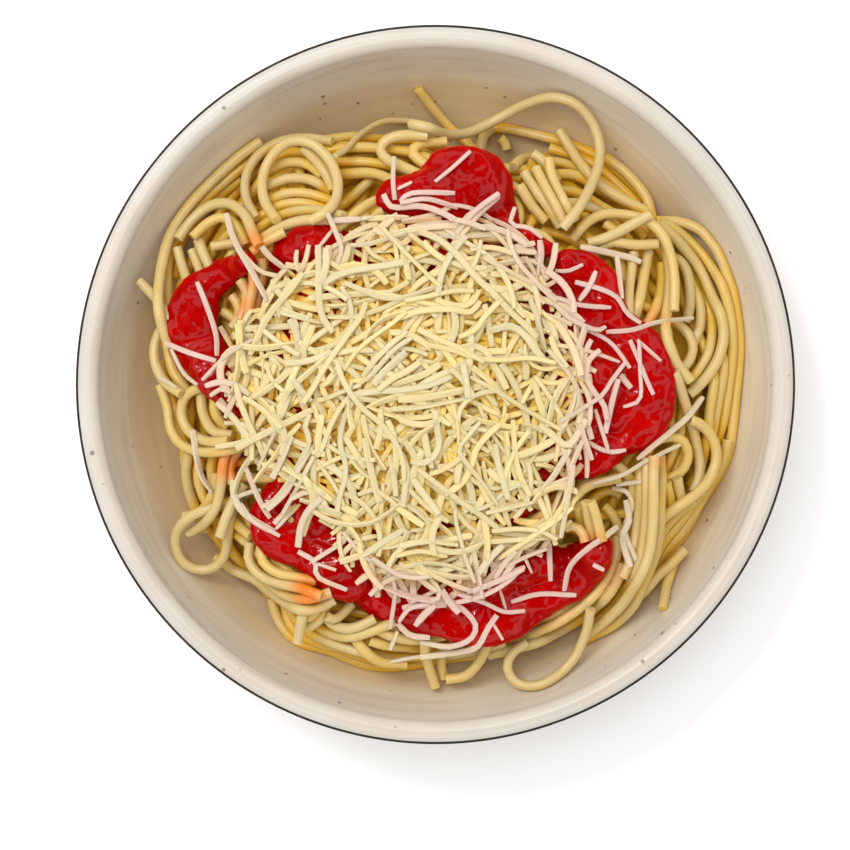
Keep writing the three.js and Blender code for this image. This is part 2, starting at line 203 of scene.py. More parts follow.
def finish_piece(piece: Piece, material: Material, shading: Shading, node: str) -> None:
    """Dresses a piece, and gives it its place in the frame.

    Args:
        piece: the finished object, with its place in its mesh.
        material: what it is made of.
        shading: how its faces meet.
        node: the CAD node that it stands for.
    """
    piece.data.materials.clear()
    piece.data.materials.append(material)
    select_only(piece)
    bpy.ops.object.shade_smooth_by_angle(angle=shading.value)
    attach(piece, "root")
    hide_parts(node)
    log.info("%s: %d faces", piece.name, len(piece.data.polygons))


def select_only(piece: Piece) -> None:
    """Deselects everything and makes one object selected and active."""
    bpy.ops.object.select_all(action="DESELECT")
    piece.select_set(True)
    bpy.context.view_layer.objects.active = piece


def spun(name: str, profile: Sequence[Place], steps: int) -> Piece:
    """Spins an open profile, whose two ends lie on the axis, into a closed piece.

    Args:
        name: the piece's name.
        profile: (reach, height) of each corner, in millimetres.
        steps: how many faces go round.

    Returns:
        The piece, with its faces pointing outwards.
    """
    mesh = bpy.data.meshes.new(name)
    corners = [(reach * MM, 0, height * MM) for reach, height in profile]
    mesh.from_pydata(corners, [(index, index + 1) for index in range(len(corners) - 1)], [])
    piece = placed(name, mesh)
    select_only(piece)
    bpy.ops.object.mode_set(mode="EDIT")
    bpy.ops.mesh.select_all(action="SELECT")
    bpy.ops.mesh.spin(steps=steps, angle=math.tau, center=(0, 0, 0), axis=(0, 0, 1))
    bpy.ops.mesh.select_all(action="SELECT")
    bpy.ops.mesh.remove_doubles(threshold=0.002 * MM)
    bpy.ops.mesh.normals_make_consistent(inside=False)
    bpy.ops.object.mode_set(mode="OBJECT")
    return piece


def ruffle(piece: Piece, size: float, height: float) -> None:
    """Gives a piece's surface small uneven swells.

    Args:
        piece: the piece, whose mesh is changed.
        size: how far apart the swells lie, in millimetres.
        height: how high the highest stand over the deepest dips, in millimetres.
    """
    texture = bpy.data.textures.new("swells", "CLOUDS")
    texture.noise_scale = size * MM
    texture.noise_depth = 2
    select_only(piece)
    swells = piece.modifiers.new("swells", "DISPLACE")
    swells.texture = texture
    swells.texture_coords = "LOCAL"
    swells.strength = height * MM
    swells.mid_level = 0.5
    bpy.ops.object.modifier_apply(modifier="swells")


def mark_evenly(piece: Piece, **marks: float) -> None:
    """Gives every point of a piece the same values for its finish."""
    for mark, value in marks.items():
        attribute = piece.data.attributes.new(mark, "FLOAT", "POINT")
        attribute.data.foreach_set("value", np.full(len(piece.data.vertices), value, np.float32))


def smoothed(values: np.ndarray, reach: float) -> np.ndarray:
    """Blurs a row of values over a reach, in steps of the row."""
    half = max(1, int(3 * reach))
    kernel = np.exp(-0.5 * (np.arange(-half, half + 1) / reach) ** 2)
    return np.convolve(np.pad(values, half, mode="edge"), kernel / kernel.sum(), mode="valid")


def sampled(line: np.ndarray, step: float) -> np.ndarray:
    """Samples a line evenly.

    Args:
        line: its points, one a row.
        step: the spacing that the samples come close to.

    Returns:
        The samples, with both ends kept.
    """
    lengths = np.concatenate([[0], np.cumsum(np.linalg.norm(np.diff(line, axis=0), axis=1))])
    places = np.linspace(0, lengths[-1], max(3, round(lengths[-1] / step) + 1))
    return np.column_stack([np.interp(places, lengths, line[:, axis]) for axis in range(line.shape[1])])


def smooth_step(low: float, high: float, value: np.ndarray) -> np.ndarray:
    """Rises smoothly from 0 to 1 as the value goes from low to high."""
    share = np.clip((value - low) / (high - low), 0, 1)
    return share * share * (3 - 2 * share)


def round_the_plate(knots: Sequence[Place], bearing: np.ndarray) -> np.ndarray:
    """Reads off a smooth closed outline at a bearing.

    Args:
        knots: (bearing, reach) pairs in rising order of bearing.
        bearing: where to read it, in degrees.

    Returns:
        The reach at each bearing.
    """
    turns = np.array([knot[0] for knot in knots], float)
    reaches = np.array([knot[1] for knot in knots], float)
    fine = np.arange(0, 360, OUTLINE_STEP)
    outline = np.interp(fine, turns, reaches, period=360)
    blurred = smoothed(np.tile(outline, 3), OUTLINE_BLUR)[len(fine) : 2 * len(fine)]
    return np.interp(bearing, fine, blurred, period=360)


def bearings(plan: np.ndarray) -> np.ndarray:
    """Bearing of each point of a plan, in degrees."""
    return np.degrees(np.arctan2(plan[:, 1], plan[:, 0])) % 360


def at_bearing(bearing: float, reach: float) -> Place:
    """Place in plan at a bearing in degrees and a reach."""
    return (reach * math.cos(math.radians(bearing)), reach * math.sin(math.radians(bearing)))


# Routes in plan


def through(*places: Place) -> np.ndarray:
    """Runs a smooth curve through places, and samples it about every millimetre."""
    knots = np.array(places, float)
    knots = np.vstack([2 * knots[0] - knots[1], knots, 2 * knots[-1] - knots[-2]])
    t = np.linspace(0, 1, SPAN_SAMPLES, endpoint=False)[:, None]
    spans = [
        0.5 * (2 * b + (c - a) * t + (2 * a - 5 * b + 4 * c - d) * t**2 + (3 * b - a - 3 * c + d) * t**3)
        for a, b, c, d in zip(knots[:-3], knots[1:-2], knots[2:-1], knots[3:])
    ]
    return sampled(np.vstack([*spans, knots[-2:-1]]), 1.0)


def round_section(sides: int) -> np.ndarray:
    """Lists the corners of a round section."""
    angles = math.tau * (np.arange(sides) + 0.5) / sides
    return np.column_stack([np.cos(angles), np.sin(angles)])


def flat_topped_section() -> np.ndarray:
    """Lists the corners of a grated shred's section: flat above and below, with rounded sides."""
    quarter = [(1.0, 0.3), (0.68, 1.0)]
    upper = [*quarter, *[(-x, y) for x, y in quarter[::-1]]]
    return np.array([*upper, *[(-x, -y) for x, y in upper]])


def curl(centre: Place, half_axes: Place, start: float, end: float) -> np.ndarray:
    """Goes round part of an ellipse, from one angle to another in degrees."""
    angles = np.radians(np.linspace(start, end, CURL_SAMPLES))
    round_it = np.column_stack([half_axes[0] * np.cos(angles), half_axes[1] * np.sin(angles)])
    return sampled(np.array(centre) + round_it, 1.0)


def loose_end(place: Place, heading: float, length: float, bend: float) -> np.ndarray:
    """Leaves a place at a heading, and turns evenly by a bend over its length."""
    steps = max(3, round(length))
    headings = np.radians(heading + bend * (np.arange(steps) + 0.5) / steps)
    onward = np.column_stack([np.cos(headings), np.sin(headings)]) * length / steps
    return np.vstack([place, np.array(place) + np.cumsum(onward, axis=0)])


@dataclass(frozen=True)
class Strand:
    """A strand of spaghetti that shows: its route, and how it differs from the rest."""

    route: np.ndarray
    lift: float = 0.0
    tone: float | None = None
    girth: float = 1.0


@dataclass(frozen=True)
class PhotoView:
    """The camera straight above the plate, and where a pixel of the photograph falls on the food."""

    frame_pixels: float = 850
    axis_x_pixel: float = 435.5
    axis_y_pixel: float = 384.5
    edge_diameter_pixels: float = 719
    edge_diameter: float = 190
    edge_height: float = 45.2
    eye_height: float = 560
    sensor: float = 36

    @property
    def mm_per_pixel(self) -> float:
        """Size of a pixel at the height of the plate's outermost edge."""
        return self.edge_diameter / self.edge_diameter_pixels

    def nearness(self, height: float) -> float:
        """How much more of the table a pixel covers at a height than at the plate's edge."""
        return (self.eye_height - height) / (self.eye_height - self.edge_height)

    def place(self, x_pixel: float, y_pixel: float, height: float) -> Place:
        """Finds the place in plan, at a height, that shows at a pixel."""
        scale = self.mm_per_pixel * self.nearness(height)
        return ((x_pixel - self.axis_x_pixel) * scale, (self.axis_y_pixel - y_pixel) * scale)

    def route(self, pixels: Sequence[Place]) -> np.ndarray:
        """Runs a smooth curve through the places that show at some pixels, at ROUTE_HEIGHT."""
        return through(*[self.place(x, y, ROUTE_HEIGHT) for x, y in pixels])

    def add_camera(self) -> None:
        """Adds the scene's camera."""
        data = bpy.data.cameras.new("camera")
        data.sensor_width = self.sensor
        seen = self.frame_pixels * self.mm_per_pixel
        data.lens = self.sensor * (self.eye_height - self.edge_height) / seen
        data.shift_x = -(self.axis_x_pixel - self.frame_pixels / 2) / self.frame_pixels
        data.shift_y = -(self.frame_pixels / 2 - self.axis_y_pixel) / self.frame_pixels
        data.clip_start = 0.01
        camera = placed("camera", data)
        camera.location = (0, 0, self.eye_height * MM)
        bpy.context.scene.camera = camera


VIEW = PhotoView()


def plotted(*places: Place, lift: float = 0.0, tone: float | None = None, girth: float = 1.0) -> Strand:
    """Makes a strand that runs through places in plan."""
    return Strand(through(*places), lift, tone, girth)


def traced(*pixels: Place, lift: float = 0.0, tone: float | None = None, girth: float = 1.0) -> Strand:
    """Makes a strand that shows at the given pixels of the photograph."""
    return Strand(VIEW.route(pixels), lift, tone, girth)


class HeightMap:
    """Height of all that lies on the plate so far, over a square grid in plan."""

    def __init__(self, half_width: float, cell: float, ground: Callable[[np.ndarray], np.ndarray]) -> None:
        """Starts from the bare ground.

        Args:
            half_width: how far the grid goes from the axis.
            cell: the grid's spacing.
            ground: the height of the ground at a reach.
        """
        self.half_width = half_width
        self.cell = cell
        axis = np.arange(-half_width, half_width + cell / 2, cell)
        self.x, self.y = np.meshgrid(axis, axis)
        self.heights = ground(np.hypot(self.x, self.y))

    def cells_under(self, plan: np.ndarray, radius: float) -> tuple[np.ndarray, np.ndarray, np.ndarray]:
        """Finds the cells under a ball at each point of a plan.

        Args:
            plan: the points, one a row.
            radius: the ball's radius.

        Returns:
            The rows and the columns of the cells, and how far the ball rises over its middle there.
        """
        span = int(radius / self.cell)
        steps = np.arange(-span, span + 1)
        across, along = np.meshgrid(steps, steps)
        rise = radius**2 - (across**2 + along**2) * self.cell**2
        inside = rise >= 0
        middle = np.rint((plan[:, :2] + self.half_width) / self.cell).astype(int)
        last = self.heights.shape[0] - 1
        columns = np.clip(middle[:, :1] + across[inside], 0, last)
        rows = np.clip(middle[:, 1:2] + along[inside], 0, last)
        return rows, columns, np.sqrt(rise[inside])

    def resting(self, plan: np.ndarray, radius: float) -> np.ndarray:
        """Height of the middle of a ball that rests at each point of a plan."""
        rows, columns, rise = self.cells_under(plan, radius)
        return (self.heights[rows, columns] + rise).max(axis=1)

    def lay(self, line: np.ndarray, radius: float) -> None:
        """Adds a round strand along a line of points."""
        rows, columns, rise = self.cells_under(line, radius)
        np.maximum.at(self.heights, (rows, columns), line[:, 2:3] + rise)

    def at(self, plan: np.ndarray, values: np.ndarray | None = None) -> np.ndarray:
        """Reads the heights, or other values over the grid, at each point of a plan."""
        rows, columns, _ = self.cells_under(plan, 0)
        return (self.heights if values is None else values)[rows[:, 0], columns[:, 0]]

    def over(self, rule: Callable[[np.ndarray], np.ndarray]) -> np.ndarray:
        """Works out a rule, which takes points in plan, at every cell of the grid."""
        return rule(np.column_stack([self.x.ravel(), self.y.ravel()])).reshape(self.x.shape)

    def blurred(self, values: np.ndarray, width: float) -> np.ndarray:
        """Averages values over the grid in squares of a width."""
        cells = max(1, round(width / self.cell / 2))
        padded = np.pad(values, ((cells + 1, cells), (cells + 1, cells)), mode="edge").cumsum(0).cumsum(1)
        side = 2 * cells + 1
        total = padded[side:, side:] - padded[:-side, side:] - padded[side:, :-side] + padded[:-side, :-side]
        return total / side**2


def draped(
    ground: HeightMap, plan: np.ndarray, radius: float, stiffness: float, lift: np.ndarray | float
) -> np.ndarray:
    """Lays a limp strand over what is there, bridging the dips that are shorter than its stiffness.

    Args:
        ground: what it lies on.
        plan: its route, sampled every millimetre.
        radius: its radius.
        stiffness: how far it bridges, in millimetres.
        lift: how far it is held clear of the ground along its length.

    Returns:
        Its centre line.
    """
    lowest = ground.resting(plan, radius) + lift
    heights = lowest
    for _ in range(BRIDGING_PASSES):
        heights = np.maximum(lowest, smoothed(heights, stiffness))
    return np.column_stack([plan, smoothed(heights, EASING * stiffness)])


def draped_as_seen(
    ground: HeightMap, route: np.ndarray, radius: float, stiffness: float, lift: np.ndarray | float
) -> np.ndarray:
    """Lays a limp strand so that the camera sees it on its route, whatever height it comes to rest at.

    Args:
        ground: what it lies on.
        route: its route as it would lie at ROUTE_HEIGHT.
        radius: its radius.
        stiffness: how far it bridges, in millimetres.
        lift: how far it is held clear of the ground along its length.

    Returns:
        Its centre line.
    """
    line = draped(ground, route, radius, stiffness, lift)
    for _ in range(PARALLAX_PASSES):
        widening = VIEW.nearness(line[:, 2]) / VIEW.nearness(ROUTE_HEIGHT)
        line = draped(ground, route * smoothed(widening, PARALLAX_REACH)[:, None], radius, stiffness, lift)
    return line


class StrandMesh:
    """Many strands or shreds, swept one by one and joined as one mesh."""

    def __init__(self, name: str, marks: Sequence[str]) -> None:
        """Starts an empty mesh.

        Args:
            name: the piece's name.
            marks: the values that each point carries for its finish.
        """
        self.name = name
        self.vertices: list[np.ndarray] = []
        self.faces: list[tuple[int, ...]] = []
        self.marks: dict[str, list[np.ndarray]] = {mark: [] for mark in marks}
        self.count = 0

    def sweep(
        self,
        line: np.ndarray,
        widths: np.ndarray,
        depths: np.ndarray,
        twist: np.ndarray,
        section: np.ndarray,
        **marks: np.ndarray,
    ) -> None:
        """Sweeps a section along a line, with flat ends.

        Args:
            line: the centre line.
            widths: the section's width at each point.
            depths: its depth at each point.
            twist: its turn about the line at each point, in radians.
            section: the corners of a section of half-width 1 and half-depth 1, one a row.
            marks: the finish values at each point.
        """
        tangent = np.gradient(line, axis=0)
        tangent /= np.linalg.norm(tangent, axis=1, keepdims=True)
        side = np.cross(tangent, (0, 0, 1))
        side /= np.linalg.norm(side, axis=1, keepdims=True)
        up = np.cross(side, tangent)
        across = np.cos(twist)[:, None] * side + np.sin(twist)[:, None] * up
        over = np.cross(across, tangent)
        sides = len(section)
        wide = section[None, :, :1] * across[:, None] * widths[:, None, None] / 2
        deep = section[None, :, 1:] * over[:, None] * depths[:, None, None] / 2
        self.vertices.append((line[:, None] + wide + deep).reshape(-1, 3))
        rings = len(line)
        first = self.count
        around = np.arange(sides)
        following = (around + 1) % sides
        for ring in range(rings - 1):
            low, high = first + ring * sides, first + (ring + 1) * sides
            self.faces.extend(zip(low + around, low + following, high + following, high + around))
        self.faces.append(tuple(first + around[::-1]))
        self.faces.append(tuple(first + (rings - 1) * sides + around))
        self.count += rings * sides
        for mark, values in marks.items():
            self.marks[mark].append(np.repeat(np.broadcast_to(values, rings), sides))

    def mark_depth(self, ground: HeightMap, width: float, crest: float, gap: float) -> None:
        """Marks each point with how deep it lies among its neighbours, from 0 on a crest to 1 down in a gap;
        the finishes turn this into painted shade.

        Args:
            ground: all that lies on the plate.
            width: how wide the neighbourhood is.
            crest: height over the mean of the neighbourhood at which the mark is 0.
            gap: depth under that mean at which the mark is 1.
        """
        points = np.vstack(self.vertices)
        under_mean = ground.at(points, ground.blurred(ground.heights, width)) - points[:, 2]
        self.marks["depth"] = [smooth_step(-crest, gap, under_mean)]

    def build(self) -> Piece:
        """Makes the joined mesh, and returns its object."""
        mesh = bpy.data.meshes.new(self.name)
        mesh.from_pydata((np.vstack(self.vertices) * MM).tolist(), [], self.faces)
        for mark, values in self.marks.items():
            attribute = mesh.attributes.new(mark, "FLOAT", "POINT")
            attribute.data.foreach_set("value", np.concatenate(values).astype(np.float32))
        return placed(self.name, mesh)


# Plate


@dataclass(frozen=True)
class StonewareGlaze:
    """Reduction-fired stoneware under a satin cream glaze, with streaks where it ran thin and small iron
    specks; its colours by reach carry painted shade low on the wall and in the groove.
    """

    # Colour at each reach. From the floor up to 81.5 it is golden and darker: painted shade and golden light
    # thrown back by the food. At 91.8, in the groove of the lip, it is darker: painted shade.
    colours: tuple[tuple[float, str], ...] = (
        (0, "ccb07a"),
        (72, "cdb384"),
        (81.5, "d1b98f"),
        (84.5, "d9ccb3"),
        (87.6, "d9cfbf"),
        (88.6, "dbd6ca"),
        (89.6, "d3cdc0"),
        (90.8, "c8c0b2"),
        (91.8, "c3baac"),
        (92.6, "cac5ba"),
        (94, "c6c2b7"),
    )
    speck: str = "5f5040"
    streak: str = "c9b3a1"
    mottle_size: float = 26
    speck_spacing: float = 5
    speck_radius: float = 0.85
    streak_width: float = 5
    ring_spacing: float = 3.4
    grain_size: float = 1.6
    colour_span: float = 100

    def by_reach(self, tree: Tree, reach: Socket) -> Socket:
        """Colours the glaze by how far from the axis it lies."""
        along = maths(tree, "MULTIPLY", reach, 1 / (self.colour_span * MM))
        ramp = add_node(tree, "ShaderNodeValToRGB", {0: along})
        elements = ramp.color_ramp.elements
        for stop, (at_reach, colour) in enumerate(self.colours):
            element = elements[stop] if stop < 2 else elements.new(1.0)
            element.position = at_reach / self.colour_span
            element.color = linear(colour)
        return ramp.outputs[0]

    def streaks(self, tree: Tree, flat: Socket, height: Socket) -> Socket:
        """Share of the thinner glaze that has run down the wall in streaks."""
        outward = add_node(tree, "ShaderNodeVectorMath", {0: flat}, operation="NORMALIZE")
        bearing = add_node(tree, "ShaderNodeSeparateXYZ", {0: outward.outputs[0]})
        bands = maths(tree, "MULTIPLY", height, 1 / (self.streak_width * MM))
        wall = {0: bearing.outputs[0], 1: bearing.outputs[1], 2: bands}
        round_wall = add_node(tree, "ShaderNodeCombineXYZ", wall).outputs[0]
        pattern = {"Vector": round_wall, "Scale": 2.2, "Detail": 5, "Distortion": 0.5}
        runs = add_node(tree, "ShaderNodeTexNoise", pattern)
        return ranged(tree, runs.outputs[0], 0.48, 0.72, 0.0, 0.55)

    def specks(self, tree: Tree, place: Socket) -> Socket:
        """Share of iron at each place: small specks, each of its own size."""
        spots = {"Vector": place, "Scale": 1 / (self.speck_spacing * MM)}
        cells = add_node(tree, "ShaderNodeTexVoronoi", spots)
        chance = add_node(tree, "ShaderNodeSeparateColor", {0: cells.outputs["Color"]}).outputs[0]
        largest = self.speck_radius / self.speck_spacing
        size = ranged(tree, chance, 0.2, 1.0, 0.0, largest)
        inside = maths(tree, "SUBTRACT", size, cells.outputs["Distance"])
        return ranged(tree, inside, 0.0, 0.35 * largest, 0.0, 0.75)

    def relief(self, tree: Tree, place: Socket, reach: Socket, mottle: Socket) -> Socket:
        """Tilts the surface in faint throwing rings and a fine grain."""
        turns = maths(tree, "MULTIPLY", reach, math.tau / (self.ring_spacing * MM))
        rings = maths(tree, "SINE", maths(tree, "MULTIPLY_ADD", mottle, 9.0, turns))
        fine = clouds(tree, place, self.grain_size, 2)
        return bumped(tree, maths(tree, "MULTIPLY_ADD", fine, 0.25, rings), 0.35, 0.06)

    def material(self) -> Material:
        """Builds the glaze's nodes."""
        material = new_material("stoneware_glaze")
        tree = material.node_tree
        place = object_place(tree)
        axes = add_node(tree, "ShaderNodeSeparateXYZ", {0: place})
        flat = add_node(tree, "ShaderNodeCombineXYZ", {0: axes.outputs[0], 1: axes.outputs[1]}).outputs[0]
        reach = add_node(tree, "ShaderNodeVectorMath", {0: flat}, operation="LENGTH").outputs["Value"]
        mottle = clouds(tree, place, self.mottle_size, 4, Roughness=0.55)
        streaked = self.streaks(tree, flat, axes.outputs[2])
        fired = blended(tree, streaked, self.by_reach(tree, reach), linear(self.streak))
        patch = ranged(tree, mottle, 0.35, 0.7, 0.95, 1.04)
        tinted = add_node(tree, "ShaderNodeVectorMath", {0: fired, "Scale": patch}, operation="SCALE")
        specked = blended(tree, self.specks(tree, place), tinted.outputs[0], linear(self.speck))
        inputs = {
            "Base Color": specked,
            "Roughness": ranged(tree, mottle, 0.3, 0.7, 0.3, 0.42),
            "IOR": 1.5,
            "Normal": self.relief(tree, place, reach, mottle),
        }
        return give_surface(material, inputs)


@dataclass(frozen=True)
class IronEdge:
    """A line of iron oxide round the plate's edge: matt, nearly black, with a brown cast where it is thin."""

    thick: str = "2b2927"
    thin: str = "4a4038"
    patch_size: float = 3.0

    def material(self) -> Material:
        """Builds the line's nodes."""
        material = new_material("iron_oxide_edge")
        tree = material.node_tree
        share = ranged(tree, clouds(tree, object_place(tree), self.patch_size, 2), 0.5, 0.8)
        colour = blended(tree, share, linear(self.thick), linear(self.thin))
        return give_surface(material, {"Base Color": colour, "Roughness": 0.85, "Specular IOR Level": 0.05})


@dataclass
class Plate:
    """The deep round plate, with its foot ring, rounded wall, and thick rolled lip with a groove."""

    diameter: float = 190
    foot_inner_radius: float = 38
    foot_outer_radius: float = 42
    foot_recess: float = 2.5
    foot_bevel: float = 1.5
    inner_chamfer: float = 0.4
    outer_chamfer: float = 0.5
    floor_radius: float = 40
    floor_height: float = 7
    wall_reach: float = 49
    wall_rise: float = 44
    wall_end_angle: float = 80
    outer_wall_reach: float = 50
    outer_wall_rise: float = 43
    outer_wall_end_angle: float = 76
    lip_width: float = 6.2
    lip_base_height: float = 45.2
    lip_crown: float = 3.4
    groove_reach: float = 91.8
    groove_width: float = 0.7
    groove_depth: float = 0.14
    edge_line_width: float = 1.05
    lip_steps: int = 30
    outer_steps: int = 22
    inner_steps: int = 26
    steps: int = 192
    glaze: StonewareGlaze = field(default_factory=StonewareGlaze)
    edge: IronEdge = field(default_factory=IronEdge)

    def inner_height(self, reach: np.ndarray) -> np.ndarray:
        """Height of the inner surface at a reach."""
        along = np.clip((reach - self.floor_radius) / self.wall_reach, 0, 1)
        return self.floor_height + self.wall_rise * (1 - np.sqrt(1 - along**2))

    def arc(self, centre: Place, half_axes: Place, start: float, end: float, steps: int) -> list[Place]:
        """Lists points round part of an ellipse, at angles from straight down."""
        angles = np.radians(np.linspace(start, end, steps + 1))
        return [
            (centre[0] + half_axes[0] * math.sin(angle), centre[1] - half_axes[1] * math.cos(angle))
            for angle in angles
        ]

    def lip(self) -> list[Place]:
        """Lists the points of the lip, from its outer to its inner edge, dipped where its groove runs."""
        middle = (self.diameter / 2 - self.lip_width / 2, self.lip_base_height)
        crown = self.arc(middle, (self.lip_width / 2, self.lip_crown), 90, 270, self.lip_steps)
        from_groove = [(reach - self.groove_reach) / self.groove_width for reach, _ in crown]
        dip = [self.groove_depth * math.exp(-(share**2)) for share in from_groove]
        return [(reach, height - depth) for (reach, height), depth in zip(crown, dip)]

    def profile(self) -> list[Place]:
        """Lists the corners of the plate's section, from the axis below to the axis inside."""
        outer_start = self.foot_outer_radius + self.foot_bevel
        outer_centre = (outer_start, self.foot_recess + self.outer_wall_rise)
        outer_axes = (self.outer_wall_reach, self.outer_wall_rise)
        inner_centre = (self.floor_radius, self.floor_height + self.wall_rise)
        inner_axes = (self.wall_reach, self.wall_rise)
        return [
            (0, self.foot_recess),
            (self.foot_inner_radius - self.foot_bevel, self.foot_recess),
            (self.foot_inner_radius - self.inner_chamfer, self.inner_chamfer),
            (self.foot_inner_radius, 0),
            (self.foot_outer_radius, 0),
            (self.foot_outer_radius + self.outer_chamfer, self.outer_chamfer),
            *self.arc(outer_centre, outer_axes, 0, self.outer_wall_end_angle, self.outer_steps),
            *self.lip(),
            *self.arc(inner_centre, inner_axes, self.wall_end_angle, 0, self.inner_steps),
            (0, self.floor_height),
        ]

    def build(self) -> Piece:
        """Makes and dresses the plate."""
        piece = spun("plate_body", self.profile(), self.steps)
        finish_piece(piece, self.glaze.material(), Shading.ROUND_WITH_CUT_ENDS, "plate")
        piece.data.materials.append(self.edge.material())
        line_start = self.diameter / 2 - self.edge_line_width
        for face in piece.data.polygons:
            middle = face.center / MM
            if math.hypot(middle.x, middle.y) > line_start and middle.z > self.lip_base_height:
                face.material_index = 1
        return piece


# Spaghetti


@dataclass(frozen=True)
class CookedPasta:
    """Cooked durum wheat pasta: translucent and moist, with painted shade that turns it golden, then deep
    golden, down in the gaps between strands.
    """

    # Pale is the plain pasta; golden and deep golden are its own tones where they vary at random, and painted
    # shade where the depth mark brings them.
    pale: str = "ccb57e"
    golden: str = "d8b452"
    deep: str = "dcab28"
    stain: str = "e07a00"
    tone_share: float = 0.3
    cloud_share: float = 0.3
    gap_shade_share: float = 0.85
    middle: float = 0.45
    cloud_size: float = 9
    speckle_size: float = 1.1
    scatter: float = 2.0

    def material(self) -> Material:
        """Builds the pasta's nodes."""
        material = new_material("cooked_pasta")
        tree = material.node_tree
        place = object_place(tree)
        toned = maths(tree, "MULTIPLY_ADD", marked(tree, "tone"), self.tone_share, -self.cloud_share / 2)
        wander = maths(tree, "MULTIPLY_ADD", clouds(tree, place, self.cloud_size, 2), self.cloud_share, toned)
        # Painted shade: the deeper a point lies among the strands, the more golden and deep its colour.
        share = maths(tree, "MULTIPLY_ADD", marked(tree, "depth"), self.gap_shade_share, wander)
        plain = three_tones(tree, share, self.middle, (self.pale, self.golden, self.deep))
        inputs = {
            "Base Color": blended(tree, marked(tree, "stain"), plain, linear(self.stain)),
            "Roughness": 0.38,
            "IOR": 1.45,
            "Subsurface Weight": 0.8,
            "Subsurface Radius": (1.0, 0.8, 0.4),
            "Subsurface Scale": self.scatter * MM,
            "Coat Weight": 0.15,
            "Coat Roughness": 0.25,
            "Normal": bumped(tree, clouds(tree, place, self.speckle_size, 3), 0.3, 0.08),
        }
        return give_surface(material, inputs)


HEAP_OUTLINE = [
    (0, 80), (20, 80), (40, 75), (55, 71), (63, 65), (70, 60), (80, 60), (88, 64), (95, 66), (110, 71),
    (120, 77), (135, 79),
    (150, 80), (162, 79), (172, 76), (190, 74), (205, 74), (217, 75), (228, 73), (240, 72), (260, 73),
    (280, 71), (300, 72), (320, 74), (340, 78),
]
